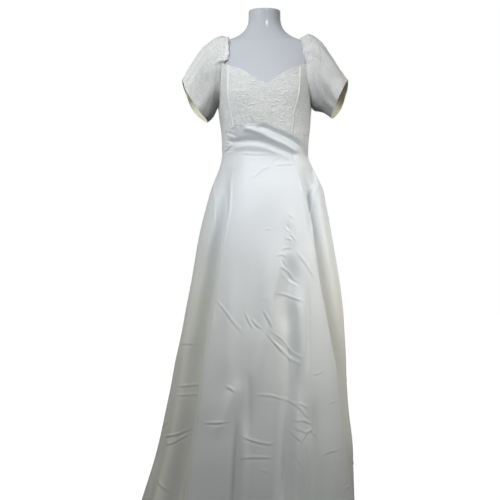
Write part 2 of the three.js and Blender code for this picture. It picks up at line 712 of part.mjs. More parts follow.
function sleeve(side) {
  const start = sleeveStart(side);
  const first = sleeveFrame(side, 0);
  const outer = SLEEVE_RINGS.map((along) => start.map(({ point, gap, edge }) => {
    const up = point.clone().sub(first.centre).dot(first.half) / first.half.lengthSq();
    const around = degrees(Math.atan2(-point.y / first.depth, up));
    const own = point.clone().sub(sleeveOval(side, around, 0));
    const blended = (distance) =>
      sleeveOval(side, around, distance).addScaledVector(own, between(1 - distance / SHOULDER_BLEND) ** 2);
    const place = blended(along);
    const out = place.clone().sub(sleeveFrame(side, along).centre).normalize();
    place.addScaledVector(out, sleeveLift(side, around, along, edge));
    if (along === 0) place.addScaledVector(blended(SLEEVE_RINGS[1]).sub(point).normalize(), gap);
    return place;
  }));
  return wallBetween(outer, innerSide(outer, side), true);
}

// The inside of a round wall, square to its outside
function innerSide(outer, side) {
  const rows = outer.length;
  const columns = outer[0].length;
  return outer.map((ring, r) => ring.map((point, c) => {
    const round = ring[(c + 1) % columns].clone().sub(ring[(c + columns - 1) % columns]);
    const run = outer[Math.min(r + 1, rows - 1)][c].clone().sub(outer[Math.max(r - 1, 0)][c]);
    const normal = run.cross(round).normalize().multiplyScalar(sign(side));
    const centre = ring.reduce((sum, p) => sum.add(p), new THREE.Vector3()).divideScalar(columns);
    if (normal.dot(point.clone().sub(centre)) < 0) normal.negate();
    return point.clone().addScaledVector(normal, -WALL);
  }));
}

// Form, stand and zip

function formTorso() {
  const rings = FORM.map(({ z, half, front, back }) =>
    Array.from({ length: FORM_COLUMNS }, (_, column) => {
      const angle = -180 + (360 * column) / FORM_COLUMNS;
      const surface = (a) => onSection(a, z, half, half, front, back);
      return surface(angle).addScaledVector(outward(surface, angle, z), bustLift(angle, z));
    }));
  return solidThrough(rings);
}

function standing({ radius, sides }, bottom, height) {
  const geometry = new THREE.CylinderGeometry(radius, radius, height, sides);
  return geometry.rotateX(Math.PI / 2).translate(0, 0, bottom + height / 2);
}

function standBase() {
  const root = BASE.thickness / 2;
  return joined([standing(BASE, 0, BASE.thickness), standing(COLLAR, root, COLLAR.height - root)]);
}

function standPole() {
  const bottom = COLLAR.height + SEAM_GAP;
  return standing(POLE, bottom, FORM_BOTTOM - SEAM_GAP - bottom);
}

// The slider lies on the top of the centre-back seam, and the pin stands off its face
const SLIDER_Z = topEdge(180) - SLIDER.below;
const SLIDER_BACK = cloth(180, SLIDER_Z + SLIDER.height / 2).y + SEAM_GAP;
const PIN_Y = SLIDER_BACK + SLIDER.thickness + PULL.eye + SEAM_GAP;
const PIN_Z = SLIDER_Z + PIN.up;

function zipSlider() {
  const body = new THREE.BoxGeometry(SLIDER.width, SLIDER.thickness, SLIDER.height);
  body.translate(0, SLIDER_BACK + SLIDER.thickness / 2, SLIDER_Z);
  const root = SLIDER_BACK + SLIDER.thickness - CHEEK.root;
  const reach = PIN_Y + CHEEK.half - root;
  const cheeks = [-1, 1].map((way) => {
    const cheek = new THREE.BoxGeometry(CHEEK.outer - CHEEK.inner, reach, 2 * CHEEK.half);
    return cheek.translate((way * (CHEEK.inner + CHEEK.outer)) / 2, root + reach / 2, PIN_Z);
  });
  const pin = new THREE.CylinderGeometry(PIN.radius, PIN.radius, CHEEK.inner + CHEEK.outer, PIN.sides);
  pin.rotateZ(Math.PI / 2).translate(0, PIN_Y, PIN_Z);
  return joined([body, ...cheeks, pin]);
}

// The pull tab's side view: an eye round the pin, and a flat tongue that hangs from it
function zipPull() {
  const half = PULL.thickness / 2;
  const neck = Math.asin(half / PULL.eye);
  const outline = new THREE.Shape();
  outline.absarc(0, 0, PULL.eye, -Math.PI / 2 + neck, (3 * Math.PI) / 2 - neck, false);
  outline.lineTo(-half, -PULL.length);
  outline.lineTo(half, -PULL.length);
  const bore = new THREE.Path();
  bore.absarc(0, 0, PULL.bore, 0, 2 * Math.PI, true);
  outline.holes.push(bore);
  const cut = { depth: PULL.width, bevelEnabled: false, curveSegments: PULL.arcs };
  const tab = new THREE.ExtrudeGeometry(outline, cut);
  tab.translate(0, 0, -PULL.width / 2);
  tab.rotateX(Math.PI / 2).rotateZ(Math.PI / 2);
  return tab.translate(0, PIN_Y, PIN_Z);
}

// The whole thing

const MATERIALS = Object.fromEntries(Object.entries({
  satin: { color: COLOURS.satin, roughness: 0.36, metalness: 0 },
  lace: { color: COLOURS.lace, roughness: 0.62, metalness: 0 },
  casing: { color: COLOURS.casing, roughness: 0.4, metalness: 0 },
  plastic: { color: COLOURS.plastic, roughness: 0.22, metalness: 0 },
  steel: { color: COLOURS.steel, roughness: 0.35, metalness: 1 },
  nickel: { color: COLOURS.nickel, roughness: 0.25, metalness: 1 },
}).map(([name, finish]) => [name, () => new THREE.MeshStandardMaterial(finish)]));

const group = new THREE.Group();

function add(name, geometry, finish) {
  const mesh = new THREE.Mesh(geometry, MATERIALS[finish]());
  mesh.name = name;
  group.add(mesh);
}

add('form_torso', formTorso(), 'plastic');
add('stand_pole', standPole(), 'steel');
add('stand_base', standBase(), 'steel');

for (const name of Object.keys(PIECES)) {
  const bodice = cutPiece(name, bodiceHeights);
  add(`bodice_${name}`, wallBetween(bodice.outer, bodice.inner), 'lace');
  const skirt = cutPiece(name, skirtHeights);
  add(`skirt_${name}`, wallBetween(skirt.outer, skirt.inner), 'satin');
  if (name === 'front') {
    const last = FRONT_COLUMNS.length - 1;
    add('casing_left', casing(bodice, 0, 1), 'casing');
    add('casing_right', casing(bodice, last, last - 1), 'casing');
  }
}
for (const side of ['left', 'right']) {
  add(`sleeve_${side}`, sleeve(side), 'lace');
  add(`piping_${side}`, pipingCord(side), 'casing');
}
add('zip_slider', zipSlider(), 'nickel');
add('zip_pull', zipPull(), 'nickel');

// The origin is on the floor, under the middle of the whole outline
const whole = new THREE.Box3().setFromObject(group, true);
const middle = whole.getCenter(new THREE.Vector3());
for (const mesh of group.children) mesh.position.set(-middle.x, -middle.y, -whole.min.z);
group.updateMatrixWorld(true);

export default group;
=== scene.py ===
# %% [markdown]
# # A satin wedding dress on its form
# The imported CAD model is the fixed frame: plain solids with the dress's real cut and size.
# Every cloth piece is drawn again here, on the same curved surface but with many more points,
# so that it can carry creases, gathers and corded lace. Working lengths are in millimetres, as a
# dressmaker's are, and each finished mesh is moved into the frame's metres at the end.

# %% The frame
import math

import bpy
import numpy as np
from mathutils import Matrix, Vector


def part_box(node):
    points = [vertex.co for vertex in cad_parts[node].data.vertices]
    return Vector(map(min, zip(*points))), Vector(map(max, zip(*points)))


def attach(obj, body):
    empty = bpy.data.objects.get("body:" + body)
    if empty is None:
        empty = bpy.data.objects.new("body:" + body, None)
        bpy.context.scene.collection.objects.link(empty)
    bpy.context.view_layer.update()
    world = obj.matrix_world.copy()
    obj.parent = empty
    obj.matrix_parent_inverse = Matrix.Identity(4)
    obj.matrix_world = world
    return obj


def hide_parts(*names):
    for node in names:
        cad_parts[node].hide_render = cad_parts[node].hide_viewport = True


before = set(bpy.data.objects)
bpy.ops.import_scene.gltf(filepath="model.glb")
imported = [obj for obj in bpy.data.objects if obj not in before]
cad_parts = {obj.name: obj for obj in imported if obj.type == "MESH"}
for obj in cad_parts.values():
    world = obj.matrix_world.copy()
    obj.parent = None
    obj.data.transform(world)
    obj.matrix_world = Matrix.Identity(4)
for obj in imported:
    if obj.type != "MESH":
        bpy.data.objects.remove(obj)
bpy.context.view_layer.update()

# %% [markdown]
# The dress is easiest to describe round its own axis, but the frame's origin is under the middle
# of the whole outline. The pole of the stand is on the axis, so its box says how far apart the
# two are, and nothing has to be fitted by eye.

# %% From the dress's axis to the frame
low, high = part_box("stand_pole")
AXIS = np.array([(low.x + high.x) / 2, (low.y + high.y) / 2, 0.0])


def to_frame(points):
    return np.asarray(points, float) / 1000 + AXIS


print("axis", AXIS.round(5))

# %% [markdown]
# A pattern cutter's sizes come as short tables. A smooth curve through each column gives the size
# at any height, and it is the same curve that the solids use, so the cloth lies on them.

# %% Tables and smooth curves through them


def table(names, rows):
    return dict(zip(names.split(), np.array(rows, float).T))


def through(keys, values, at):
    secants = np.diff(values) / np.diff(keys)
    slopes = (np.r_[secants[:1], secants] + np.r_[secants, secants[-1:]]) / 2
    x = np.clip(at, keys[0], keys[-1])
    i = np.clip(np.searchsorted(keys, x) - 1, 0, len(keys) - 2)
    span = keys[i + 1] - keys[i]
    t = (x - keys[i]) / span
    rise = 3 * t**2 - 2 * t**3
    bend = (t**3 - 2 * t**2 + t) * slopes[i] + (t**3 - t**2) * slopes[i + 1]
    return values[i] * (1 - rise) + values[i + 1] * rise + bend * span


def bell(distance, half):
    return np.exp(-((distance / half) ** 2))


def ramp(value, start, end):
    t = np.clip((value - start) / (end - start), 0, 1)
    return t * t * (3 - 2 * t)


def unit(vectors):
    return vectors / np.linalg.norm(vectors, axis=-1, keepdims=True)


# %% The dress's sizes
GOWN = table("z left right front back", [
    (0, 390, 290, 248, 335), (100, 358, 280, 233, 302), (190, 331, 275, 221, 276),
    (313, 304, 261, 206, 245), (499, 267, 249, 184, 209), (663, 234, 236, 166, 186),
    (831, 205, 211, 149, 167), (942, 179, 191, 133, 149), (989, 165, 181, 123, 136),
    (1040, 144, 156, 108, 116), (1085, 132, 137, 98, 102), (1119, 132, 136, 97, 98),
    (1156, 133, 139, 102, 100), (1228, 142, 144, 117, 110), (1290, 147, 148, 121, 117),
    (1350, 158, 158, 108, 117), (1400, 160, 160, 90, 106),
])
PRINCESS = table("z left right", [
    (0, -36.5, 71), (46, -37, 69), (118, -38.5, 64.5), (212, -39, 60), (340, -39, 58),
    (450, -39.5, 55), (531, -39, 50), (660, -38, 43.5), (755, -37, 41), (848, -35.5, 39.5),
    (904, -35, 38.5), (1010, -37.5, 37), (1118, -41.5, 36.5), (1168, -45.5, 37),
    (1215, -47, 38.5), (1268, -48.8, 42.5), (1300, -48, 43.6), (1360, -45, 43),
])
UNDERBUST = table("angle z", [
    (-180, 1160), (-90, 1159), (-60, 1158), (-45, 1168), (-19, 1179), (-5, 1182), (1, 1180.5),
    (12, 1170.5), (25, 1158), (38, 1148.5), (45, 1144), (54, 1149), (72, 1159), (180, 1160),
])
SWEETHEART = table("angle z", [
    (0, 1300), (8, 1309), (15, 1322), (22, 1337), (29, 1347), (40, 1357), (49, 1366),
])
ARMHOLE = table("angle z", [
    (49, 1366), (57, 1307), (67, 1272), (78, 1250), (90, 1243), (102, 1250), (113, 1272),
    (123, 1307), (131, 1362),
])
BACK_NECK = table("angle z", [(131, 1362), (145, 1358), (160, 1350), (180, 1346)])
SQUARENESS, WALL, SEAM_GAP = 0.04, 2.0, 0.3
ARMHOLE_FRONT, ARMHOLE_BACK, SIDE_SEAM, BACK_SEAM = 49, 131, 97, 144  # angles
BUST = dict(angle=34, z=1272, height=10, half_angle=17, half_height=42)
WAIST = 1106  # the height where the plain form is narrowest
print(len(GOWN["z"]), "heights of the form and", len(PRINCESS["z"]), "of the princess seams")

# %% [markdown]
# ## The dress as one surface
# Round the body, a place on the dress is an angle (0 at the centre front, positive to the
# viewer's right) and a height. `skin` gives the plain form at a place. Folds are then heights
# measured square to it, added one kind at a time, so each can be understood and changed alone.

# %% The plain form


def section(angle, z, left, right, front, back):
    turn = np.radians(angle)
    sine, cosine = np.sin(turn), np.cos(turn)
    swell = 1 + SQUARENESS * np.sin(2 * turn) ** 2
    x = np.where(sine < 0, left, right) * sine * swell
    y = -np.where(cosine > 0, front, back) * cosine * swell
    return np.stack([x, y, z + 0 * x], -1)


def skin(angle, z):
    radii = (through(GOWN["z"], GOWN[k], z) for k in ("left", "right", "front", "back"))
    return section(angle, z, *radii)


def outward(surface, angle, z):
    along = unit(surface(angle + 0.5, z) - surface(angle - 0.5, z))
    return np.stack([along[..., 1], -along[..., 0], 0 * along[..., 0]], -1)


def underbust(angle):
    return through(UNDERBUST["angle"], UNDERBUST["z"], angle)


def princess(side, z):
    return through(PRINCESS["z"], PRINCESS[side], z)


def top_edge(angle):
    size = np.abs(angle)
    front = through(SWEETHEART["angle"], SWEETHEART["z"], size)
    arm = through(ARMHOLE["angle"], ARMHOLE["z"], size)
    back = through(BACK_NECK["angle"], BACK_NECK["z"], size)
    return np.where(size <= ARMHOLE_FRONT, front, np.where(size <= ARMHOLE_BACK, arm, back))


def bust_lift(angle, z):
    rise = bell(np.abs(angle) - BUST["angle"], BUST["half_angle"])
    return BUST["height"] * rise * bell(z - BUST["z"], BUST["half_height"])


waist = skin(np.linspace(-180, 180, 721), np.full(721, float(WAIST)))
print("waist", round(np.linalg.norm(np.diff(waist, axis=0), axis=1).sum()), "mm round")


# %% [markdown]
# The large folds have the same numbers as the solids: two deep falls beside the front panel,
# flutes that open towards the hem, and the slanting folds that a fitted waist makes.

# %% The large folds
EDGE_FOLDS = table("z left right left_centre right_centre inner outer", [
    (0, 52, 30, 46, 34, 24, 50), (300, 48, 40, 38, 34, 20, 42), (600, 38, 38, 28, 28, 15, 30),
    (750, 30, 34, 22, 24, 12, 24), (880, 22, 30, 18, 26, 10, 18), (950, 15, 22, 22, 28, 12, 18),
    (1010, 5, 7, 26, 28, 14, 20), (1060, 0, 0, 26, 28, 14, 20),
])
HEM_FLUTES = [  # angle, drift by the flute's top, top, depth, half-width
    (-15, -2, 600, 13, 7), (3.5, 10, 480, 14, 6), (34, -3, 420, 9, 8), (-72, 4, 560, 16, 9),
    (-106, 3, 640, 24, 9), (106, -3, 640, 22, 9), (-131, 3, 900, 38, 8), (131, -3, 900, 36, 8),
    (-157, 2, 840, 34, 8), (157, -2, 860, 36, 8),
]
WAIST_FOLDS = [  # height, half-width, and a path of x and z on the front
    (-6, 8, [(-9, 1172), (21, 1162), (60, 1145), (90, 1132), (114, 1112), (130, 1086)]),
    (6, 9, [(-54, 1166), (-9, 1150), (27, 1131), (60, 1118), (90, 1100)]),
    (-7, 9, [(-96, 1127), (-54, 1130), (-21, 1128), (15, 1116), (48, 1102), (84, 1089)]),
    (2, 9, [(-84, 1110), (-51, 1112), (3, 1105), (48, 1088), (72, 1080)]),
]
EDGE_FOLD_TOP, FLUTE_OPENING, WAIST_FOLD_FADE, WAIST_FOLD_LOW = 1060, 1.2, 14, 1000
print(len(HEM_FLUTES), "flutes and", len(WAIST_FOLDS), "waist folds")

# %% From the tables to heights


def edge_fold(angle, z):
    lift = np.zeros(np.broadcast(angle, z).shape)
    for side, here in (("left", angle < 0), ("right", angle >= 0)):
        radius = (through(GOWN["z"], GOWN[side], z) + through(GOWN["z"], GOWN["front"], z)) / 2
        beyond = np.radians(np.abs(angle) - np.abs(princess(side, z))) * radius
        column = {k: through(EDGE_FOLDS["z"], v, z) for k, v in EDGE_FOLDS.items()}
        off = beyond - column[side + "_centre"]
        fold = -column[side] * bell(off, np.where(off < 0, column["inner"], column["outer"]))
        lift = np.where(here & (z < EDGE_FOLD_TOP), fold, lift)
    return lift


def hem_flutes(angle, z):
    lift = 0
    for place, drift, top, depth, half in HEM_FLUTES:
        opened = np.clip(1 - z / top, 0, 1)
        lift = lift - depth * opened**FLUTE_OPENING * bell(angle - place - drift * (1 - opened), half)
    return lift


def path_distance(x, z, path):
    # distance to a path, the side of it (+ above), and how far along it, from 0 to 1
    path = np.array(path, float)
    steps = np.linalg.norm(np.diff(path, axis=0), axis=1)
    done = np.r_[0, np.cumsum(steps)] / steps.sum()
    best, side, along = np.full(x.shape, 1e9), np.zeros(x.shape), np.zeros(x.shape)
    for i, (a, b) in enumerate(zip(path[:-1], path[1:])):
        run = b - a
        t = np.clip(((x - a[0]) * run[0] + (z - a[1]) * run[1]) / (run @ run), 0, 1)
        away = np.hypot(x - a[0] - t * run[0], z - a[1] - t * run[1])
        nearer = away < best
        cross = run[0] * (z - a[1]) - run[1] * (x - a[0])
        best = np.where(nearer, away, best)
        side = np.where(nearer, np.sign(cross), side)
        along = np.where(nearer, done[i] + t * (done[i + 1] - done[i]), along)
    return best, side, along


def waist_folds(angle, z):
    x = skin(angle, z)[..., 0]
    fade = np.clip((underbust(angle) - z) / WAIST_FOLD_FADE, 0, 1)
    lift = sum(h * bell(path_distance(x, z, path)[0], half) for h, half, path in WAIST_FOLDS)
    return np.where((np.abs(angle) <= 90) & (z >= WAIST_FOLD_LOW), lift * fade, 0)


def large_folds(angle, z):
    return bust_lift(angle, z) + edge_fold(angle, z) + hem_flutes(angle, z) + waist_folds(angle, z)


def cloth(angle, z, fine=0):
    return skin(angle, z) + outward(skin, angle, z) * (large_folds(angle, z) + fine)[..., None]


# %% [markdown]
# ## Creases in satin
# Stiff satin that was folded and carried keeps thin, bright creases: a crest with a shallow
# trough under it. Each is given as a path of angles and heights. A cloth simulation
# would give other creases than these, so paths are the better tool here. The front's follow the
# real dress. The sides' and the back's are guessed, in the same manner.

# %% Crease paths: height, half-width, and places along each
FRONT_CREASES = [
    (1.1, 2.9, [(-37.7, 658), (-27.7, 620), (-19.0, 577), (-14.0, 554)]),
    (1.8, 2.6, [(-1.0, 568), (3.8, 542), (10.4, 508), (18.1, 476), (25.9, 460)]),
    (1.8, 2.6, [(2.2, 568), (12.0, 537), (18.2, 503), (27.6, 475)]),
    (-1.8, 2.9, [(1.8, 551), (11.3, 519), (17.9, 490), (25.4, 470)]),
    (1.5, 2.6, [(3.9, 676), (13.9, 669), (22.1, 657), (30.6, 643)]),
    (-1.5, 2.9, [(12.2, 743), (18.3, 714), (26.7, 693)]),
    (1.3, 2.6, [(7.8, 783), (12.2, 787), (17.3, 781)]),
    (1.5, 2.6, [(9.4, 752), (13.4, 747), (17.4, 738), (22.3, 711)]),
    (-1.4, 2.6, [(12.1, 773), (14.2, 753), (17.8, 737)]),
    (1.1, 2.9, [(19.4, 906), (22.3, 901), (25.9, 892)]),
    (-1.1, 2.9, [(17.4, 874), (19.0, 865), (21.2, 861)]),
    (1.1, 2.9, [(19.7, 849), (22.7, 839), (25.6, 824)]),
    (1.1, 2.6, [(15.7, 836), (19.3, 834), (22.4, 827)]),
    (1.1, 2.6, [(11.6, 801), (16.4, 807), (21.2, 806)]),
    (0.8, 2.6, [(-1.9, 860), (1.5, 863), (5.3, 861)]),
    (1.1, 3.9, [(23.8, 801), (31.8, 761), (39.3, 711)]),
    (1.4, 2.6, [(-14.2, 617), (-11.1, 592), (-7.5, 566)]),
    (1.4, 2.9, [(-1.5, 626), (1.8, 601), (5.9, 566)]),
    (1.3, 2.6, [(-9.8, 600), (-5.6, 580), (-1.6, 569)]),
    (1.5, 2.6, [(-9.2, 378), (-2.6, 379), (4.5, 376), (16.4, 358), (22.4, 339), (26.3, 317), (31.6, 309)]),
    (1.1, 2.6, [(16.4, 355), (23.2, 351), (29.7, 336)]),
    (1.4, 2.6, [(16.1, 305), (24.1, 304), (32.9, 287)]),
    (1.7, 2.6, [(14.4, 282), (17.8, 263), (21.9, 246), (24.9, 259), (28.9, 274), (35.0, 250)]),
    (1.4, 2.6, [(17.0, 290), (21.2, 278), (25.7, 269), (34.4, 279)]),
    (1.3, 2.9, [(18.5, 207), (20.8, 183), (23.5, 161)]),
    (1.3, 2.9, [(32.2, 247), (28.1, 207), (24.0, 160)]),
    (1.7, 2.6, [(-34.7, 295), (-26.5, 296), (-18.8, 303)]),
    (1.5, 3.2, [(-23.4, 401), (-20.1, 396), (-17.2, 384)]),
    (1.5, 2.6, [(-14.6, 264), (-6.8, 248), (-1.8, 242), (2.7, 237), (7.5, 252)]),
    (1.4, 2.9, [(-15.1, 197), (-6.6, 202), (-0.8, 201), (5.4, 198)]),
    (0.8, 2.9, [(-3.7, 166), (2.6, 160)]),
    (1.3, 2.6, [(53.1, 86), (57.2, 95), (62.4, 92)]),
    (1.4, 2.6, [(31.7, 436), (35.5, 435), (40.5, 443)]),
    (1.1, 2.9, [(43.1, 345), (47.5, 350), (52.7, 350)]),
    (1.1, 3.2, [(34.0, 198), (42.0, 208), (52.6, 211)]),
    (0.7, 2.0, [(31.0, 652), (29.9, 564), (28.8, 474)]),
    (0.8, 2.6, [(-35.6, 1093), (-13.1, 1089), (9.3, 1088)]),
    (1.1, 2.6, [(9.2, 1054), (22.4, 1058), (37.2, 1060)]),
    (0.8, 3.2, [(-15.5, 1012), (-2.4, 1045), (8.5, 1052)]),
    (0.7, 2.6, [(8.8, 1064), (17.0, 1083)]),
    (-2.4, 3.0, [(-44, 1126), (-26.3, 1123), (-13.0, 1122), (0.0, 1115), (12.8, 1103), (24.5, 1091),
                 (35.9, 1080)]),
    (-2.4, 3.0, [(-3.8, 1163), (7.4, 1156), (18.8, 1147), (30.8, 1136), (43.3, 1124), (56.0, 1111)]),
    (1.7, 3.0, [(-68.8, 1100), (-55, 1111), (-42.9, 1121)]),
    (-1.7, 3.5, [(-65.4, 1164), (-48, 1151), (-34, 1139)]),
    (1.7, 3.0, [(47.4, 1158), (60, 1153), (71.1, 1150)]),
    (-1.7, 3.5, [(55.9, 1025), (62.4, 1010), (81.0, 1003)]),
]
SIDE_CREASES = [
    (1.1, 2.6, [(-75.1, 516), (-55.8, 519), (-45.9, 517)]),
    (1.5, 2.6, [(-65.4, 388), (-50.2, 396), (-40.4, 395)]),
    (1.4, 2.6, [(-65.3, 363), (-49.7, 368), (-40.3, 375)]),
    (1.7, 2.6, [(-74.5, 231), (-58.0, 247), (-48.0, 271)]),
    (1.5, 2.6, [(-67.9, 210), (-58.5, 224), (-50.4, 252)]),
    (1.3, 2.6, [(-88.8, 249), (-77.2, 269), (-70.7, 282)]),
    (1.3, 3.2, [(-73.9, 127), (-59.9, 99), (-50.9, 74)]),
    (1.3, 2.6, [(60.0, 229), (74.4, 214)]),
    (1.4, 2.6, [(-63.9, 1117), (-50.5, 1116), (-42.1, 1120)]),
    (-1.7, 2.6, [(-58.9, 1135), (-52.6, 1131), (-45.6, 1124)]),
    (-1.7, 2.6, [(-59.6, 1101), (-53.1, 1101), (-44.9, 1103)]),
    (1.3, 2.9, [(72, 905), (80, 898), (90, 902)]),
    (1.1, 2.6, [(-92, 690), (-82, 684), (-74, 690)]),
    (1.4, 2.9, [(82, 612), (90, 600), (95, 578)]),
    (1.3, 2.6, [(80, 402), (88, 396), (95, 400)]),
    (1.4, 2.9, [(84, 150), (90, 138), (96, 142)]),
]
BACK_CREASES = [
    (1.4, 2.9, [(104, 930), (114, 918), (124, 920)]),
    (1.3, 2.6, [(150, 806), (160, 799), (171, 803)]),
    (1.5, 2.6, [(141, 560), (147, 541), (154, 536)]),
    (1.3, 2.9, [(112, 470), (119, 462), (127, 468)]),
    (1.4, 2.6, [(163, 402), (170, 396), (178, 399)]),
    (1.5, 2.9, [(108, 262), (116, 250), (122, 256), (128, 240)]),
    (1.3, 2.6, [(139, 214), (146, 208), (152, 211)]),
    (1.4, 2.9, [(165, 150), (171, 128), (177, 122)]),
    (1.3, 2.6, [(-178, 720), (-170, 712), (-164, 716)]),
    (1.5, 2.9, [(-128, 655), (-120, 640), (-112, 644)]),
    (1.4, 2.6, [(-176, 505), (-168, 498), (-160, 504)]),
    (1.3, 2.6, [(-120, 402), (-113, 396), (-106, 400)]),
    (1.7, 2.9, [(-152, 330), (-145, 318), (-140, 322), (-135, 304)]),
    (1.4, 2.6, [(-176, 232), (-169, 224), (-163, 228)]),
    (1.3, 2.9, [(-122, 168), (-115, 152), (-107, 150)]),
    (1.4, 2.6, [(-150, 118), (-145, 92)]),
    (1.1, 2.9, [(-165, 1050), (-140, 1044), (-118, 1052)]),
    (1.1, 2.9, [(120, 1062), (142, 1049), (168, 1053)]),
    (-1.3, 3.2, [(-170, 1098), (-140, 1104), (-110, 1096)]),
    (-1.3, 3.2, [(108, 1094), (138, 1102), (172, 1099)]),
]
print(len(FRONT_CREASES), "creases in front,", len(SIDE_CREASES + BACK_CREASES), "beside and behind")

# %% [markdown]
# Broad, soft folds lie under the thin creases, where a gore bows out or sinks between the hips
# and the hem. They use the same kind of path, as plain ridges and valleys with no trough.

# %% Broad folds: height, half-width, and places along each
BROAD_FOLDS = [
    (9.0, 26, [(6, 860), (5, 780), (2.5, 690), (0.5, 566), (-3.0, 479), (-6.0, 407), (-9, 330)]),
    (-20.0, 17, [(19, 700), (17.5, 600), (17, 500), (16.2, 410), (14, 307), (12, 222), (10, 90), (9.5, -60)]),
    (3.5, 13, [(13.5, 820), (12, 765), (9.3, 697), (4, 655), (5, 600), (5.9, 540)]),
    (-12.0, 20, [(21, 790), (19, 720), (14, 660), (14, 600), (14, 540)]),
    (6.0, 14, [(24, 700), (24.5, 600), (25, 500), (22, 420)]),
    (-5.0, 7, [(31.6, 700), (30.8, 652), (30.0, 560), (28.6, 474), (28, 420)]),
    (4.0, 18, [(-24, 760), (-24, 640), (-24, 500), (-22, 380)]),
    (-8.0, 8, [(-16.4, 330), (-16.0, 249), (-15.5, 165), (-15.3, 81), (-15.2, -60)]),
    (6.0, 10, [(-12.5, 330), (-11.5, 249), (-11, 165), (-11, 81), (-11, -60)]),
    (-3.0, 8, [(-9.8, 450), (-9.5, 380), (-9.5, 300), (-10.5, 240)]),
    (3.5, 14, [(-15, 430), (-19, 370), (-24, 290), (-27, 240)]),
    (8.0, 14, [(23, 400), (21.5, 300), (19.5, 180), (18, 60), (18, -80)]),
    (-7.0, 12, [(33, 380), (31, 250), (29, 120), (29, -60)]),
    (2.5, 14, [(21, 930), (24, 860), (20, 800)]),
    (3.0, 24, [(-70, 820), (-68, 600), (-66, 420)]),
    (3.0, 24, [(74, 800), (76, 600), (80, 420)]),
]

# %% [markdown]
# From the hips, the side gores drop away under the front panel's edge. No smooth fold turns that
# sharply, so each fall is a slope between two edges: down within a few millimetres, then back to
# the next fold.

# %% Sharp falls beside the front panel: height, panel's edge, far fold, and depth at the edge
FALLS = {
    "left": table("z edge far depth", [
        (672, -37.5, -38.2, 0), (735, -37.6, -39.2, 4), (821, -35.9, -43.3, 8), (907, -34.8, -50.1, 10),
        (965, -35.9, -57.6, 8), (1020, -40.2, -80, 3), (1050, -41, -84, 0),
    ]),
    "right": table("z edge far depth", [
        (845, 39.3, 40, 0), (870, 39, 42, 7), (902, 38.5, 45.5, 13), (936, 38, 50, 16), (981, 36.6, 54, 15),
        (1023, 36.9, 70, 9), (1055, 37.3, 78, 0),
    ]),
}
LIP, FAR_LIP = 3.0, 4.0  # how much cloth turns at the panel's edge, and at the far fold
print("deepest fall", max(FALLS[side]["depth"].max() for side in FALLS), "mm")

# %% From paths to heights


def per_degree(z):
    # millimetres of cloth in one degree
    return np.radians(1) * (through(GOWN["z"], GOWN["front"], z) + through(GOWN["z"], GOWN["right"], z)) / 2


def crease_lift(angle, z, creases, trough=0.5):
    lift = np.zeros(angle.shape)
    scale = per_degree(z)
    for height, half, path in creases:
        a, h = np.array(path, float).T
        reach = 5 * half
        near = np.abs(angle - (a.max() + a.min()) / 2) < np.ptp(a) / 2 + reach / scale
        near &= np.abs(z - (h.max() + h.min()) / 2) < np.ptp(h) / 2 + reach
        if not near.any():
            continue
        middle = a.mean()
        line = np.stack([(a - middle) * per_degree(h), h], 1)
        away, side, along = path_distance((angle[near] - middle) * scale[near], z[near], line)
        above = away * side * (np.sign(a[-1] - a[0]) or 1)
        ends = ramp(along, -0.02, 0.3) * ramp(1 - along, -0.02, 0.3)
        lift[near] += height * ends * (bell(above, half) - trough * bell(above + 2 * half, 1.3 * half))
    return lift


def sharp_falls(angle, z):
    # the cloth drops under the panel's edge and climbs in a flat slope to the next fold
    lift = np.zeros(angle.shape)
    for side, sign in (("left", -1), ("right", 1)):
        edge, far, depth = (through(FALLS[side]["z"], FALLS[side][k], z) for k in ("edge", "far", "depth"))
        beyond = sign * (angle - edge) * per_degree(z)
        width = np.maximum(sign * (far - edge) * per_degree(z), 0.1)
        inside = (z > FALLS[side]["z"][0]) & (z < FALLS[side]["z"][-1]) & (sign * angle > 0)
        share = np.clip(beyond / width, 0, 1)
        floor_of_fall = (1.3 - share) * ramp(beyond, 0, LIP) if side == "left" else share
        slope = floor_of_fall * (1 - ramp(beyond, width - FAR_LIP, width))
        crest = 0.15 * bell(beyond - width - FAR_LIP, FAR_LIP) + 0.2 * bell(beyond + 2, 4)
        lift += np.where(inside, depth * (crest - slope), 0)
    return lift


def ripples(angle, z, seed, length, count=9):
    # a smooth, uneven field between about -1 and 1: the sum of a few long waves
    rng = np.random.default_rng(seed)
    x = np.radians(angle) * 200
    total = 0
    for _ in range(count):
        turn, phase, size = rng.uniform(0, np.pi), rng.uniform(0, 2 * np.pi), rng.uniform(0.7, 1.5)
        total = total + np.sin(2 * np.pi * (x * np.cos(turn) + z * np.sin(turn)) / (length * size) + phase)
    return total / np.sqrt(count)


def satin_fine(angle, z):
    lift = crease_lift(angle, z, FRONT_CREASES + SIDE_CREASES + BACK_CREASES)
    lift += crease_lift(angle, z, BROAD_FOLDS, trough=0) + sharp_falls(angle, z)
    lift += 0.7 * ripples(angle, z, 3, 160) * ramp(1120 - z, 0, 120)
    seam = bell(underbust(angle) - z, 13)
    return lift + 1.1 * seam * ripples(angle, z * 0.4, 8, 34)


# %% [markdown]
# ## From a grid of places to a mesh
# A cut piece is a grid: columns run up the cloth and rows run round it. UVs are in metres along
# and up the piece, so a weave keeps its real size. Edges are turned in by two extra columns or
# rows, as a seam allowance is, so no gap shows between two pieces.

# %% A mesh from a grid


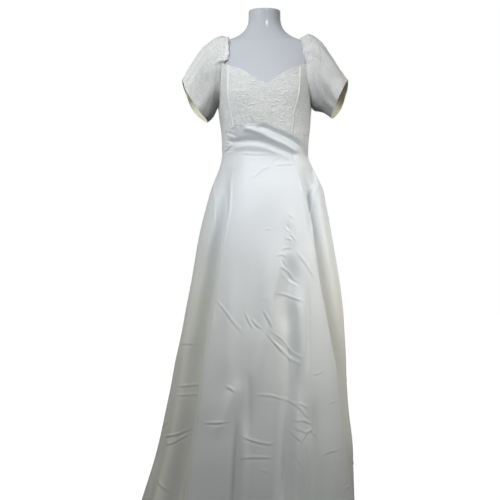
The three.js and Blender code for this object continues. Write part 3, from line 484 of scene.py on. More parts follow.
def mesh_from_grid(name, points, uv=None, closed=False, body="dress"):
    rows, columns = points.shape[:2]
    index = np.arange(rows * columns).reshape(rows, columns)
    if closed:
        index = np.c_[index, index[:, :1]]
    quads = np.stack([index[:-1, :-1], index[:-1, 1:], index[1:, 1:], index[1:, :-1]], -1).reshape(-1, 4)
    mesh = bpy.data.meshes.new(name)
    flat = to_frame(points.reshape(-1, 3))
    mesh.from_pydata(flat.tolist(), [], quads.tolist())
    if uv is not None:
        layer = mesh.uv_layers.new(name="cloth")
        wrap = uv[:, :1] + [[[uv[..., 0].max(), 0]]]
        wide = np.concatenate([uv, wrap], 1) if closed else uv
        corner = np.stack([wide[:-1, :-1], wide[:-1, 1:], wide[1:, 1:], wide[1:, :-1]], -2).reshape(-1, 2)
        layer.data.foreach_set("uv", (corner / 1000).astype(np.float32).ravel())
    mesh.polygons.foreach_set("use_smooth", np.ones(len(quads), bool))
    mesh.update()
    piece = bpy.data.objects.new(name, mesh)
    bpy.context.scene.collection.objects.link(piece)
    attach(piece, body)
    return piece


def measured(points):
    across = np.linalg.norm(np.diff(points, axis=1), axis=-1)
    up = np.linalg.norm(np.diff(points, axis=0), axis=-1)
    area = (across[:-1] * (up[:, :-1] + up[:, 1:]) / 2).sum() / 1e6
    return across.sum(1).max() / 1000, up.sum(0).max() / 1000, area


# %% The cut pieces' borders and places
PIECES = {
    "front": (lambda z: princess("left", z), lambda z: princess("right", z)),
    "side_left": (lambda z: -SIDE_SEAM + 0 * z, lambda z: princess("left", z)),
    "side_right": (lambda z: princess("right", z), lambda z: SIDE_SEAM + 0 * z),
    "side_back_left": (lambda z: -BACK_SEAM + 0 * z, lambda z: -SIDE_SEAM + 0 * z),
    "side_back_right": (lambda z: SIDE_SEAM + 0 * z, lambda z: BACK_SEAM + 0 * z),
    "back_left": (lambda z: -180 + 0 * z, lambda z: -BACK_SEAM + 0 * z),
    "back_right": (lambda z: BACK_SEAM + 0 * z, lambda z: 180 + 0 * z),
}


def piece_grid(piece, shares, rows, height_of):
    # a seam's angle depends on the height and an edge's height on the angle, so both settle together
    start, end = PIECES[piece]
    z = np.full((rows, len(shares)), 1160.0)
    for _ in range(6):
        gap = SEAM_GAP / 2 / (np.radians(1) * np.linalg.norm(skin(start(z), z)[..., :2], axis=-1))
        angle = (start(z) + gap) * (1 - shares) + (end(z) - gap) * shares
        z = height_of(angle)
    return angle, z


def with_turned_sides(points, inward, depth=WALL):
    # two more columns at each side, folded in square to the cloth
    first, last = points[:, :1], points[:, -1:]
    first_in, last_in = inward[:, :1] * depth, inward[:, -1:] * depth
    turned = [first + first_in, first + first_in * 0.5, points, last + last_in * 0.5, last + last_in]
    return np.concatenate(turned, axis=1)


# %% [markdown]
# ## The skirt
# Seven gores run from the seam under the bodice to the floor, with no waist seam. Rows are closer
# near the waist, where the folds are small. The hem is turned up 25 mm inside, as a real one is.

# %% The skirt's gores
SKIRT_TOP, SKIRT_LEVEL = 1165, 1000
HEM_TURN = [(1.2, 0.3), (2.0, 2), (2.2, 12), (2.2, 25)]  # how far in, and how far up
levels = np.r_[np.linspace(SKIRT_TOP, SKIRT_LEVEL, 70)[:-1], np.linspace(SKIRT_LEVEL, 0, 310)][:, None]


def skirt_height(angle):
    share = np.clip((levels - SKIRT_LEVEL) / (SKIRT_TOP - SKIRT_LEVEL), 0, 1)
    return levels + share * (underbust(angle) - SEAM_GAP / 2 - SKIRT_TOP)


def flat_uv(points):
    across = np.linalg.norm(np.diff(points, axis=1), axis=-1)
    u = np.c_[np.zeros(len(points)), np.cumsum(across, 1)]
    return np.stack([u - u.max(1, keepdims=True) / 2, points[..., 2]], -1)


def skirt_gore(piece, columns):
    angle, z = piece_grid(piece, np.linspace(0, 1, columns), len(levels), skirt_height)
    points = cloth(angle, z, satin_fine(angle, z))
    points[..., 2] = np.maximum(points[..., 2], 0.2)
    inward = -outward(cloth_plain, angle, z)
    hem = [cloth(angle[-1], np.full(columns, rise), 0) + inward[-1] * inset
           for inset, rise in HEM_TURN]
    top = points[:1] + inward[:1] * np.array([[[1.8]], [[0.9]]])
    points = np.concatenate([top, points, np.array(hem)])
    inward = np.concatenate([inward[:1], inward[:1], inward] + [inward[-1:]] * 4)
    return with_turned_sides(points, inward)


def cloth_plain(angle, z):
    return cloth(angle, z, 0 * angle)


GORES = {"front": 240, "side_left": 96, "side_right": 90, "side_back_left": 76,
         "side_back_right": 72, "back_left": 58, "back_right": 58}
skirt = {}
for name, columns in GORES.items():
    points = skirt_gore(name, columns)
    skirt[name] = mesh_from_grid("satin_" + name, points[::-1], flat_uv(points)[::-1])
    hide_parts("skirt_" + name)
    print(name, "hem, length, area", [round(v, 3) for v in measured(points)])

# %% [markdown]
# ## The bodice
# The bodice's cloth has raised, wavy cords that run across it. Each ridge is a contour of a
# slowly wandering field, which gives lines that part and meet as couched cord does. The largest
# relief is in the mesh, where its edges catch light, and the fine thread is in the material.

# %% Wandering cords


def cords(angle, z, spacing=9.0):
    wander = ripples(angle * 1.6, z * 2.2, 11, 60) + 0.5 * ripples(angle, z, 12, 22)
    wave = 0.5 + 0.5 * np.cos(2 * np.pi * (z / spacing + 0.55 * wander))
    patchy = 0.65 + 0.35 * ripples(angle, z, 13, 45)
    return wave**1.5 * np.clip(patchy, 0.15, 1.1)


def bodice_fine(angle, z):
    size = np.abs(angle)
    columns = 0.6 + 0.6 * bell(size - 21, 11)
    sides = np.where(size > 46, 0.7, 1.0)
    edge = ramp(z - underbust(angle), 2, 12) * ramp(top_edge(angle) - z, 1, 6)
    pucker = 0.5 * bell(z - underbust(angle), 9) * ripples(angle, z, 21, 26)
    return 2.5 * columns * sides * cords(angle, z) * edge + pucker


# %% The bodice's pieces
BODICE_ROWS = 110
EDGE_AT_PIPING = 1.8  # how far a cut edge stands from the middle of the armhole's cord


def cut_top_edge(angle):
    # lower than the armhole by the cord's width, measured square to the slanting edge
    size = np.abs(angle)
    at_arm = (size > ARMHOLE_FRONT - 0.5) & (size < ARMHOLE_BACK + 0.5)
    here, ahead, behind = (np.clip(size + step, ARMHOLE_FRONT, ARMHOLE_BACK) for step in (0, 0.5, -0.5))
    edge = top_edge(angle)
    rise = top_edge(ahead) - top_edge(behind)
    run = np.linalg.norm(skin(ahead, edge) - skin(behind, edge), axis=-1)
    drop = EDGE_AT_PIPING * np.hypot(1, rise / np.maximum(run, 0.1))
    return np.where(at_arm, top_edge(here) - drop, edge)


def up_the_bodice(shares):
    share = shares[:, None]
    return lambda angle: (underbust(angle) + SEAM_GAP / 2) * (1 - share) + cut_top_edge(angle) * share


def bodice_panel(piece, columns):
    up = np.linspace(0, 1, BODICE_ROWS)
    angle, z = piece_grid(piece, np.linspace(0, 1, columns), BODICE_ROWS, up_the_bodice(up))
    return cloth(angle, z, bodice_fine(angle, z))


PANELS = {"front": 130, "side_left": 70, "side_right": 70, "side_back_left": 66,
          "side_back_right": 66, "back_left": 60, "back_right": 60}
bodice = {}
for name, columns in PANELS.items():
    points = bodice_panel(name, columns)
    bodice[name] = mesh_from_grid("lace_" + name, points, flat_uv(points))
    wall = bodice[name].modifiers.new("wall", "SOLIDIFY")
    wall.thickness, wall.offset = 0.0016, -1
    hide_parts("bodice_" + name)
    print(name, "width, height, area", [round(v, 3) for v in measured(points)])

# %% [markdown]
# ## The sleeves
# Each short puffed sleeve is a tube: its first ring lies in the armhole and over the shoulder,
# and the next ones grow into an oval that hangs open at the hem. The head is drawn up in
# gathers, which fade down the sleeve, and its edge is turned down onto the form, so that it
# doesn't stand up as a thin wall. The wall's inner face has a darker, warmer finish of its own,
# which paints the shade and the warm light inside the sleeve.

# %% The sleeves' sizes
SLEEVES = {
    "left": table("along top_out top_up low_out low_up depth", [
        (0, 110, 1456, 146, 1244, 68), (0.2, 137, 1461, 149, 1234, 81), (0.4, 172, 1441, 152, 1226, 88),
        (0.6, 203, 1410, 157, 1216, 89), (0.8, 232, 1366, 166, 1206, 85), (1, 256, 1325, 176, 1197, 80),
    ]),
    "right": table("along top_out top_up low_out low_up depth", [
        (0, 112, 1456, 148, 1244, 68), (0.2, 140, 1466, 151, 1237, 81), (0.4, 174, 1444, 160, 1233, 88),
        (0.6, 204, 1403, 173, 1230, 89), (0.8, 232, 1361, 189, 1223, 85), (1, 259, 1321, 207, 1210, 80),
    ]),
}
SLEEVE_HEM = {"left": (13, 4), "right": (5, 12)}  # the dip at its middle, and its back's reach
SHOULDER_BLEND = 0.3
BACK_EDGE = [(0.48, 111, 0, 1456), (0.68, 114, 54, 1441), (0.81, 118, 76, 1412), (0.9, 121.5, 81, 1390)]
SHOULDER_EDGE = {  # along, out, y, up
    "left": [(0.06, 114.5, -82, 1377), (0.12, 110, -80, 1392), (0.21, 111, -73, 1420),
             (0.33, 113, -52, 1447)] + BACK_EDGE,
    "right": [(0.09, 121.5, -72, 1390), (0.17, 118, -68, 1412), (0.3, 114, -48, 1441)] + BACK_EDGE,
}
SLEEVE_FOLDS = {  # height, around (0 top, 90 front), half-width, start, end
    "left": [(7, 62, 13, 0.35, 1), (-7, 40, 12, 0.15, 0.9), (-6, 96, 14, 0.2, 0.95),
             (-6, -60, 16, 0.2, 1), (6, -95, 15, 0.3, 1)],
    "right": [(7, 52, 13, 0.1, 0.7), (-7, 78, 13, 0.1, 0.75), (-5, 118, 12, 0.35, 1),
              (-6, -65, 16, 0.2, 1), (6, -100, 15, 0.3, 1)],
}
SIGN = {"left": -1, "right": 1}
HEAD_TURN, HEAD_LEAN = (14, 6), 0.6  # the head's edge goes this far in, leaning to the neck
print("folds in the sleeves", [len(folds) for folds in SLEEVE_FOLDS.values()])

# %% The sleeve's surface


def seam_point(side, angle):
    return cloth_plain(SIGN[side] * angle, top_edge(angle))


def sleeve_start(side, arm_columns, head_columns):
    arm = np.linspace(ARMHOLE_FRONT, ARMHOLE_BACK, arm_columns)
    armhole = seam_point(side, arm)
    corner = [(t, abs(p[0]), p[1], p[2]) for t, p in ((0, armhole[0]), (1, armhole[-1]))]
    edge = np.array([corner[0], *SHOULDER_EDGE[side], corner[1]])
    along = 1 - np.arange(1, head_columns) / head_columns
    out, y, up = (through(edge[:, 0], edge[:, k], along) for k in (1, 2, 3))
    head = np.stack([SIGN[side] * out, y, up], -1)
    return np.concatenate([armhole, head]), np.r_[np.zeros(arm_columns), along]


def sleeve_frame(side, along):
    size = {k: through(SLEEVES[side]["along"], v, along) for k, v in SLEEVES[side].items()}
    top = np.stack([SIGN[side] * size["top_out"], 0 * along, size["top_up"]], -1)
    low = np.stack([SIGN[side] * size["low_out"], 0 * along, size["low_up"]], -1)
    half = (top - low) / 2
    axis = unit(np.stack([half[..., 2], 0 * along, -half[..., 0]], -1) * SIGN[side])
    return (top + low) / 2, half, size["depth"], axis


def sleeve_oval(side, around, along):
    centre, half, depth, axis = sleeve_frame(side, along)
    turn = np.radians(around)
    bulge, tilt = SLEEVE_HEM[side]
    dip = (bulge * np.sin(turn) ** 2 - tilt * np.sin(turn)) * along**4
    forward = np.stack([0 * turn, -depth * np.sin(turn), 0 * turn], -1)
    return centre + half * np.cos(turn)[..., None] + forward + axis * dip[..., None]


def sleeve_lift(side, around, along, edge):
    lift = 0
    for height, place, half, start, end in SLEEVE_FOLDS[side]:
        opened = ramp(along, start, start + 0.28) * (1 - ramp(along, end, end + 0.28))
        lift = lift + height * bell(around - place, half) * opened
    gathered = np.where(edge > 0, np.clip(1 - along / 0.4, 0, 1), 0)
    return lift + gathered * 2.2 * np.sin(2 * np.pi * 9 * edge)


def sleeve_fine(side, around, along, edge):
    seed = 31 if side == "left" else 41
    tucks = np.where(edge > 0, np.clip(1 - along / 0.28, 0, 1), 0) ** 1.5
    fine = 1.1 * tucks * np.sin(2 * np.pi * (24 * edge + 0.4 * ripples(around, along * 100, seed, 40)))
    fine = fine + 0.9 * ripples(around, along * 160, seed + 1, 90)
    return fine + 1.8 * cords(around * 0.7, along * 190) * ramp(along, 0.05, 0.25)


def sleeve_grid(side, rings=90, arm_columns=84, head_columns=130):
    start, edge = sleeve_start(side, arm_columns, head_columns)
    centre, half, depth, _ = sleeve_frame(side, np.array(0.0))
    up = (start - centre) @ half / (half @ half)
    around = np.degrees(np.arctan2(-start[:, 1] / depth, up))
    own = start - sleeve_oval(side, around, 0 * around)
    gap = np.where(edge > 0, 0, EDGE_AT_PIPING)
    grid = []
    for t in np.linspace(0, 1, rings) ** 1.15:
        along = np.full(len(start), t)
        place = sleeve_oval(side, around, along) + own * np.clip(1 - t / SHOULDER_BLEND, 0, 1) ** 2
        out = unit(place - sleeve_frame(side, along)[0])
        lift = sleeve_lift(side, around, along, edge) + sleeve_fine(side, around, along, edge)
        place = place + out * lift[:, None]
        if t == 0:
            ahead = sleeve_oval(side, around, along + 0.07) + own * (1 - 0.07 / SHOULDER_BLEND) ** 2
            place = place + unit(ahead - start) * gap[:, None]
            toward = np.array([-HEAD_LEAN * SIGN[side], 0, 0])
            fade = np.clip(10 * edge * (1 - edge), 0, 1)[:, None]
            for inside in HEAD_TURN:
                grid.append(place + (toward - out) * inside * fade)
        grid.append(place)
    return np.array(grid), around


sleeves = {}
for side in ("left", "right"):
    points, around = sleeve_grid(side)
    if side == "left":
        points = points[:, ::-1]
    steps = np.linalg.norm(np.roll(points, -1, 1) - points, axis=-1)
    u = np.c_[np.zeros(len(points)), np.cumsum(steps, 1)[:, :-1]]
    v = np.r_[0, np.cumsum(np.linalg.norm(np.diff(points, axis=0), axis=-1).mean(1))]
    uv = np.stack([u, v[:, None] + 0 * u], -1)
    sleeves[side] = mesh_from_grid("lace_sleeve_" + side, points, uv, closed=True)
    wall = sleeves[side].modifiers.new("wall", "SOLIDIFY")
    wall.thickness, wall.offset = 0.0016, -1
    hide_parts("sleeve_" + side)
    print("sleeve", side, [round(v, 3) for v in measured(points)])

# %% [markdown]
# ## Narrow trim
# A covered cord lies in each armhole, and a flat strip that holds a bone is stitched beside each
# front seam of the bodice. Both are built along the same places as the cloth that carries them.
# The back closes with a concealed zip: the seam hides its teeth and tape, so only the solids'
# slider and tab show, and they need nothing but a finish.

# %% Cords and strips


def tube(points, radius, sides=10):
    run = unit(np.gradient(points, axis=0))
    across = unit(np.cross([0, 0, 1.0], run))
    up = np.cross(run, across)
    turn = np.linspace(0, 2 * np.pi, sides, endpoint=False)
    ring = np.cos(turn)[None, :, None] * across[:, None] + np.sin(turn)[None, :, None] * up[:, None]
    return points[:, None] + ring * radius


trim = []
for side in ("left", "right"):
    angle = np.linspace(ARMHOLE_FRONT, ARMHOLE_BACK, 150)
    line = seam_point(side, angle) - outward(cloth_plain, SIGN[side] * angle, top_edge(angle)) * 0.2
    wrapped = tube(line, 2.0)
    tip = wrapped[:1].mean(1, keepdims=True) + 0 * wrapped[:1]
    cord = mesh_from_grid("armhole_cord_" + side, np.concatenate([tip, wrapped]), closed=True)
    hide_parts("piping_" + side)
    trim.append(cord)
    print("armhole cord", side, round(np.linalg.norm(np.diff(line, axis=0), axis=1).sum()), "mm")


def bone_casing(side, columns=12, rows=160):
    start, end = (0.012, 0.05) if side == "left" else (0.988, 0.95)
    shares, up = np.linspace(start, end, columns), np.linspace(0.005, 0.985, rows)
    angle, z = piece_grid("front", shares, rows, up_the_bodice(up))
    across = np.linspace(-1, 1, columns)
    dome = 1.7 * (1 - across**4) + 0.2
    stitches = -0.35 * (bell(across - 0.72, 0.12) + bell(across + 0.72, 0.12))
    return cloth(angle, z, dome + stitches + 0 * z)


for side in ("left", "right"):
    points = bone_casing(side)
    if side == "right":
        points = points[:, ::-1]
    strip = mesh_from_grid("bone_casing_" + side, points, flat_uv(points))
    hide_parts("casing_" + side)
    trim.append(strip)

# %% [markdown]
# ## The cut
# Each piece of cloth has a flat size: the widest and the longest part of its cut, and the area
# inside the outline. The gores hang from the bodice, the bodice is pulled close to the form, and
# each sleeve's cut is wider than the sleeve, because its head is drawn up in gathers. Areas were
# taken along rows and columns, which overstates the four pieces that slant up to the armholes.

# %% The flat size of each piece, in metres and square metres
GORE_CUTS = {
    "front": (0.600, 1.240, 0.462), "side_left": (0.340, 1.220, 0.276), "side_right": (0.204, 1.214, 0.207),
    "side_back_left": (0.300, 1.220, 0.229), "side_back_right": (0.280, 1.217, 0.221),
    "back_left": (0.254, 1.220, 0.199), "back_right": (0.199, 1.219, 0.184),
}
BODICE_CUTS = {
    "front": (0.268, 0.218, 0.039), "side_left": (0.178, 0.203, 0.018), "side_right": (0.184, 0.224, 0.020),
    "side_back_left": (0.174, 0.203, 0.019), "side_back_right": (0.174, 0.201, 0.019),
    "back_left": (0.099, 0.200, 0.018), "back_right": (0.099, 0.199, 0.018),
}
SLEEVE_CUT = (0.680, 0.235, 0.104)

cuts = [*GORE_CUTS.values(), *BODICE_CUTS.values(), SLEEVE_CUT, SLEEVE_CUT]
print("cut in all", round(sum(area for _, _, area in cuts), 2), "m2")

# %% [markdown]
# ## The form
# The form is a smooth moulded torso with no head or limbs, and a neck cut flat. More rings
# through the same sizes round off the solid's facets.

# %% The form's rings
FORM = table("z half front back", [
    (830, 118, 80, 86), (836, 140, 96, 102), (850, 150, 104, 110), (900, 155, 109, 117),
    (950, 149, 106, 113), (1000, 137, 98, 103), (1060, 121, 86, 88), (1110, 117, 80, 84),
    (1145, 120, 84, 88), (1180, 129, 99, 98), (1228, 139, 114.2, 107.2), (1290, 142.5, 116.8, 112.5),
    (1320, 148.5, 110, 112), (1350, 157, 100.5, 109.5), (1376, 163, 93, 104), (1400, 163, 86, 97),
    (1420, 158, 79, 88), (1433, 148, 74, 80), (1442, 130, 69, 73), (1449, 110, 64, 67),
    (1457, 90, 60, 62), (1468, 73, 56, 58), (1481, 60, 53, 55), (1498, 52, 50.5, 52),
    (1515, 49.5, 49.5, 51), (1537, 49, 49, 50.5), (1540, 46, 46, 47.5),
])
FORM_RINGS, FORM_COLUMNS = 180, 140
order = np.arange(len(FORM["z"]), dtype=float)
steps = np.linspace(0, order[-1], FORM_RINGS)
z, half, front, back = (through(order, FORM[k], steps)[:, None] for k in ("z", "half", "front", "back"))
angle = np.linspace(-180, 180, FORM_COLUMNS, endpoint=False)[None, :] + 0 * z


def form_surface(a, height):
    return section(a, height, half, half, front, back)


rings = form_surface(angle, z + 0 * angle)
rings = rings + outward(form_surface, angle, z + 0 * angle) * bust_lift(angle, z)[..., None]


def drawn_in(ring, share):
    middle = ring.mean(1, keepdims=True)
    return middle + (ring - middle) * share


caps = [drawn_in(rings[:1], share) for share in (0.001, 0.5, 0.97)]
lids = [drawn_in(rings[-1:], share) for share in (0.97, 0.5, 0.001)]
form = mesh_from_grid("form_body", np.concatenate(caps + [rings] + lids), closed=True)
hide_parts("form_torso")
print("form", FORM_RINGS, "rings of", FORM_COLUMNS)

# %% [markdown]
# ## Finishes
# Each finish is one Principled shader fed by small shared groups: a weave, a slow drift of tone
# from handling, and the corded relief. Groups only put out masks and heights, and each material
# keeps its own shader.

# %% Helpers for node trees


def node(tree, kind, inputs=None, **settings):
    made = tree.nodes.new(kind)
    for key, value in settings.items():
        setattr(made, key, value)
    for key, value in (inputs or {}).items():
        socket = made.inputs[key]
        if isinstance(value, bpy.types.NodeSocket):
            tree.links.new(value, socket)
        else:
            socket.default_value = value
    return made


def new_group(name, inputs, outputs):
    tree = bpy.data.node_groups.new(name, "ShaderNodeTree")
    for label, kind, value in inputs:
        socket = tree.interface.new_socket(label, in_out="INPUT", socket_type=kind)
        if value is not None:
            socket.default_value = value
    for label, kind in outputs:
        tree.interface.new_socket(label, in_out="OUTPUT", socket_type=kind)
    return tree, node(tree, "NodeGroupInput").outputs, node(tree, "NodeGroupOutput").inputs


def use_group(tree, group, inputs):
    made = tree.nodes.new("ShaderNodeGroup")
    made.node_tree = group
    for key, value in inputs.items():
        if isinstance(value, bpy.types.NodeSocket):
            tree.links.new(value, made.inputs[key])
        else:
            made.inputs[key].default_value = value
    return made.outputs


def calc(tree, operation, *values):
    return node(tree, "ShaderNodeMath", dict(enumerate(values)), operation=operation).outputs[0]


def ranged(tree, value, low, high, start=0.0, end=1.0, **settings):
    inputs = {"Value": value, "To Min": low, "To Max": high, "From Min": start, "From Max": end}
    return node(tree, "ShaderNodeMapRange", inputs, **settings).outputs["Result"]


def enlarged(tree, vector, scale):
    return node(tree, "ShaderNodeVectorMath", {0: vector, "Scale": scale}, operation="SCALE").outputs[0]


# %% The weave group
weave, given, result = new_group(
    "satin_weave",
    [("Vector", "NodeSocketVector", None), ("Threads", "NodeSocketFloat", 800.0),
     ("Slub", "NodeSocketFloat", 0.3)],
    [("Height", "NodeSocketFloat")],
)
scaled = enlarged(weave, given["Vector"], given["Threads"])
thread = {"Vector": scaled, "Scale": 0.3, "Distortion": 0.4}
weft, warp = (node(weave, "ShaderNodeTexWave", thread, bands_direction=way).outputs["Fac"] for way in "YX")
slub = node(weave, "ShaderNodeTexNoise", {"Vector": scaled, "Scale": 0.08, "Detail": 3.0}).outputs["Fac"]
both = calc(weave, "MULTIPLY", weft, warp)
weave.links.new(calc(weave, "MULTIPLY_ADD", slub, given["Slub"], both), result["Height"])

# %% The tone group
tone, given, result = new_group(
    "handled_tone",
    [("Vector", "NodeSocketVector", None), ("Scale", "NodeSocketFloat", 6.0)],
    [("Tone", "NodeSocketFloat")],
)
cloudy = {"Vector": given["Vector"], "Scale": given["Scale"], "Detail": 4.0, "Roughness": 0.6}
slow = node(tone, "ShaderNodeTexNoise", cloudy).outputs["Fac"]
tone.links.new(ranged(tone, slow, 0.0, 1.0, 0.3, 0.7), result["Tone"])

# %% The corded lace group
lace, given, result = new_group(
    "corded_lace",
    [("Vector", "NodeSocketVector", None), ("Cords", "NodeSocketFloat", 150.0),
     ("Wander", "NodeSocketFloat", 5.0)],
    [("Height", "NodeSocketFloat"), ("Painted Groove Shade", "NodeSocketFloat")],
)
scaled = enlarged(lace, given["Vector"], given["Cords"])
couched = {"Vector": scaled, "Scale": 0.32, "Distortion": given["Wander"], "Detail": 2.0,
           "Detail Scale": 0.45, "Detail Roughness": 0.6}
lines = node(lace, "ShaderNodeTexWave", couched, bands_direction="Y").outputs["Fac"]
loops = node(lace, "ShaderNodeTexVoronoi", {"Vector": scaled, "Scale": 0.55}, feature="DISTANCE_TO_EDGE")
ring = ranged(lace, loops.outputs["Distance"], 1.0, 0.0, 0.02, 0.22)
top = calc(lace, "MULTIPLY_ADD", ring, 0.45, lines)
grain = node(lace, "ShaderNodeTexNoise", {"Vector": scaled, "Scale": 3.0, "Detail": 2.0}).outputs["Fac"]
lace.links.new(calc(lace, "MULTIPLY_ADD", grain, 0.35, top), result["Height"])
# painted shade: the low ground between the cords, where shade falls, as a mask
lace.links.new(ranged(lace, top, 1.0, 0.0, 0.15, 0.7), result["Painted Groove Shade"])

# %% Helpers for materials


def new_material(name, **sockets):
    material = bpy.data.materials.new(name)
    material.use_nodes = True
    shader = material.node_tree.nodes["Principled BSDF"]
    for key, value in sockets.items():
        shader.inputs[key.replace("_", " ")].default_value = value
    return material, material.node_tree, shader


def mixed(tree, mask, first, second):
    made = node(tree, "ShaderNodeMix", {"Factor": mask}, data_type="RGBA")
    made.inputs["A"].default_value, made.inputs["B"].default_value = (*first, 1), (*second, 1)
    return made.outputs["Result"]


def bumped(tree, shader, height, distance, strength=1.0):
    bump = node(tree, "ShaderNodeBump", {"Height": height, "Distance": distance, "Strength": strength})
    tree.links.new(bump.outputs["Normal"], shader.inputs["Normal"])


def handled(tree, scale):
    place = node(tree, "ShaderNodeTexCoord").outputs["Object"]
    return place, use_group(tree, tone, {"Vector": place, "Scale": scale})["Tone"]


# %% [markdown]
# The satin is smooth and closely woven, with a broad sheen, so it is part metallic and fairly
# rough, with only a trace of bump. Its colour paints light: a cooler white above, for the cool
# light from overhead, and a warmer ivory lower down, warmer still on the side gores, for warm
# light from the sides. Two satins, each mixed by height, paint that with no image map.

# %% The two satins
SATINS = {  # painted light: the cool lit white above, and the warm lit colour below
    "front": ((0.73, 0.755, 0.78), (0.735, 0.755, 0.755)),
    "side": ((0.74, 0.765, 0.785), (0.77, 0.775, 0.725)),
}
satins = {}
for cut, (cool_lit_white, warm_lit_ivory) in SATINS.items():
    satins[cut], tree, shader = new_material("satin_" + cut, IOR=1.45, Metallic=0.4)
    place, drift = handled(tree, 5.0)
    rise = node(tree, "ShaderNodeSeparateXYZ", {0: place}).outputs["Z"]
    # painted light: cool white above, turning to the warmer colour lower down
    painted_light_by_height = ranged(tree, calc(tree, "MULTIPLY_ADD", drift, 0.12, rise), 0.0, 1.0, 0.95, 0.7)
    tree.links.new(mixed(tree, painted_light_by_height, cool_lit_white, warm_lit_ivory), shader.inputs["Base Color"])
    tree.links.new(ranged(tree, drift, 0.36, 0.42), shader.inputs["Roughness"])
    uv = node(tree, "ShaderNodeUVMap", uv_map="cloth").outputs["UV"]
    threads = use_group(tree, weave, {"Vector": uv, "Threads": 900.0, "Slub": 1.2})
    bumped(tree, shader, threads["Height"], 0.00012)
print("satins", list(satins))

# %% [markdown]
# The corded cloth is duller. Its cords stand up pale, and the ground between them is painted
# darker as the shade in the grooves, so one pattern gives both the bump and the painted shade.

# %% The corded cloth
lace_cloth, tree, shader = new_material("corded_cloth", Roughness=0.62, IOR=1.45, Sheen_Weight=0.2)
uv = node(tree, "ShaderNodeUVMap", uv_map="cloth").outputs["UV"]
pattern = use_group(tree, lace, {"Vector": uv, "Cords": 300.0, "Wander": 5.0})
# painted shade: the ground between the cords is coloured darker
cord_and_painted_groove_shade = mixed(tree, pattern["Painted Groove Shade"], (0.84, 0.85, 0.84), (0.47, 0.485, 0.48))
tree.links.new(cord_and_painted_groove_shade, shader.inputs["Base Color"])
bumped(tree, shader, pattern["Height"], 0.0014)
print("corded cloth", lace_cloth.name)

# %% [markdown]
# The other finishes are plain: a colour that drifts a little, and for the moulded form and the
# metals a gloss that drifts with it, as handling leaves it. One function makes them all.

# %% The plain finishes


def toned(name, scale, dull, bright, gloss=None, **sockets):
    material, tree, shader = new_material(name, **sockets)
    place, drift = handled(tree, scale)
    tree.links.new(mixed(tree, drift, dull, bright), shader.inputs["Base Color"])
    if gloss:
        tree.links.new(ranged(tree, drift, *gloss), shader.inputs["Roughness"])
    return material, tree, shader, place


# painted shade: the sleeve's inner face is darker and warmer, for the shade and warm light inside it
sleeve_inside_painted_shade = toned("sleeve_inside_painted_shade", 20.0, (0.62, 0.60, 0.46), (0.70, 0.68, 0.55),
                      Roughness=0.7, IOR=1.45)[0]
plastic = toned("form_plastic", 9.0, (0.45, 0.465, 0.505), (0.47, 0.48, 0.515), (0.16, 0.24),
                IOR=1.5, Coat_Weight=0.25)[0]
steel = toned("stand_steel", 30.0, (0.56, 0.57, 0.58), (0.64, 0.65, 0.66), (0.28, 0.42), Metallic=1.0)[0]
nickel = toned("zip_metal", 200.0, (0.74, 0.72, 0.68), (0.83, 0.81, 0.77), (0.2, 0.35), Metallic=1.0)[0]
trim_satin, tree, shader, place = toned("trim_satin", 40.0, (0.62, 0.63, 0.62), (0.68, 0.685, 0.675),
                                        IOR=1.45, Roughness=0.4)
threads = use_group(tree, weave, {"Vector": place, "Threads": 1500.0})
bumped(tree, shader, threads["Height"], 0.0001)
print("finishes", len(bpy.data.materials))

# %% Each piece gets its finish


def finish(piece, *materials):
    piece.data.materials.clear()
    for material in materials:
        piece.data.materials.append(material)


for name, piece in skirt.items():
    finish(piece, satins["front" if name == "front" else "side"])
for piece in bodice.values():
    finish(piece, lace_cloth)
for piece in sleeves.values():
    finish(piece, lace_cloth, sleeve_inside_painted_shade)
    piece.modifiers["wall"].material_offset = 1
for piece in trim:
    finish(piece, trim_satin)
finish(form, plastic)
for name in ("stand_pole", "stand_base"):
    finish(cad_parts[name], steel)
for name in ("zip_slider", "zip_pull"):
    finish(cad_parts[name], nickel)

# %% [markdown]
# ## The studio
# Satin shows what is round it more than it shows a lamp. The dress is bright where it turns up to
# a light ceiling and grey where it turns to the floor, so the studio is a soft dome: pale overhead
# and behind, brighter on the left, dim low down in front, and a little warmer at the sides. The
# floor and the far wall are plain white to the camera, and dark to everything else.

# %% The dome of light
DOME = dict(low=0.01, high=0.46, starts=0.0, full=0.6, back=0.3, side=0.25)

world = bpy.data.worlds.new("studio")
bpy.context.scene.world = world
world.use_nodes = True
tree = world.node_tree
background = tree.nodes["Background"]
looking = node(tree, "ShaderNodeTexCoord").outputs["Generated"]
direction = node(tree, "ShaderNodeSeparateXYZ", {0: looking}).outputs
behind = calc(tree, "MULTIPLY_ADD", direction["Y"], DOME["back"], DOME["back"])
leftward = calc(tree, "MULTIPLY_ADD", direction["X"], -DOME["side"], behind)
rise = calc(tree, "ADD", direction["Z"], leftward)
glow = ranged(tree, rise, DOME["low"], DOME["high"], DOME["starts"], DOME["full"],
              interpolation_type="SMOOTHSTEP")
warmth = ranged(tree, calc(tree, "ABSOLUTE", direction["X"]), 0.0, 1.0, 0.35, 0.9)
tint = mixed(tree, warmth, (0.95, 0.98, 1.0), (1.0, 0.96, 0.87))
seen = node(tree, "ShaderNodeLightPath").outputs["Is Camera Ray"]
shown = node(tree, "ShaderNodeMix", {"Factor": seen, "A": tint}, data_type="RGBA")
shown.inputs["B"].default_value = (1, 1, 1, 1)
strength = node(tree, "ShaderNodeMix", {0: seen, 2: glow, 3: 1.0}, data_type="FLOAT")
tree.links.new(shown.outputs["Result"], background.inputs["Color"])
tree.links.new(strength.outputs[0], background.inputs["Strength"])

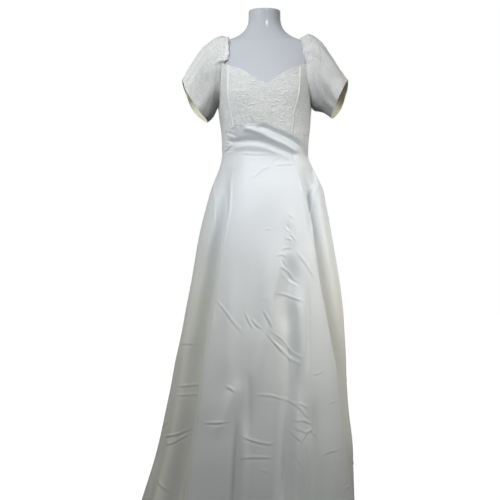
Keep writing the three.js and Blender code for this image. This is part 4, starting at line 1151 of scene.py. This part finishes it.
# %% The floor
FLOOR_REACH, UNDER_HEM = 9.0, 0.0005
sheet = bpy.data.meshes.new("floor")
corners = [(x * FLOOR_REACH, y * FLOOR_REACH, -UNDER_HEM) for x, y in ((-1, -1), (1, -1), (1, 1), (-1, 1))]
sheet.from_pydata(corners, [], [(0, 1, 2, 3)])
floor = bpy.data.objects.new("floor", sheet)
bpy.context.scene.collection.objects.link(floor)
paper, tree, shader = new_material("paper", Roughness=0.9)
shader.inputs["Base Color"].default_value = (0.06, 0.06, 0.06, 1)
shader.inputs["Emission Color"].default_value = (1, 1, 1, 1)
seen = node(tree, "ShaderNodeLightPath").outputs["Is Camera Ray"]
tree.links.new(seen, shader.inputs["Emission Strength"])
floor.data.materials.append(paper)

# %% [markdown]
# Four soft boxes give the dome a direction. The key, the right one and the one behind shine over a
# narrow angle and aren't mirrored, because a lamp's picture in the satin would look like plastic.
# The fourth is a small window that gives the glossy form its bright spot.

# %% Four lamps


def soft_box(name, width, height, place, aim, power, colour, spread=180, mirrored=True):
    light = bpy.data.lights.new(name, "AREA")
    light.shape, light.size, light.size_y = "RECTANGLE", width, height
    light.energy, light.color, light.spread = power, colour, math.radians(spread)
    lamp = bpy.data.objects.new(name, light)
    lamp.location = place
    lamp.rotation_euler = (Vector(aim) - Vector(place)).to_track_quat("-Z", "Y").to_euler()
    lamp.visible_glossy = mirrored
    bpy.context.scene.collection.objects.link(lamp)


soft_box("key", 0.9, 0.7, (-1.0, -1.8, 1.85), (-0.06, -0.1, 1.2), 5.0, (0.96, 0.98, 1.0), 58, mirrored=False)
soft_box("right", 0.6, 0.6, (1.4, -0.9, 1.35), (0.2, 0, 0.7), 3.4, (1.0, 0.985, 0.94), 60, mirrored=False)
soft_box("behind", 1.2, 1.2, (0.9, 2.3, 2.0), (0, 0, 0.9), 5, (1, 1, 1), 110, mirrored=False)
soft_box("window", 0.2, 0.3, (0.5, -2.3, 2.6), (0.05, 0, 1.4), 5, (1, 1, 1))

print("lamps", len(bpy.data.lights))

# %% [markdown]
# The camera stands level, 3.2 m in front of the dress's axis, 0.8 m up and a little to the left.
# From there the dress fills the frame as it does in the photograph.

# %% The camera
camera = bpy.data.objects.new("camera", bpy.data.cameras.new("camera"))
camera.location = (AXIS[0] - 0.045, AXIS[1] - 3.2, 0.8)
camera.rotation_euler = (math.pi / 2, 0, 0)
camera.data.lens, camera.data.sensor_width = 74.32, 36
bpy.context.scene.collection.objects.link(camera)
bpy.context.scene.camera = camera
bpy.context.scene.view_settings.view_transform = "Standard"
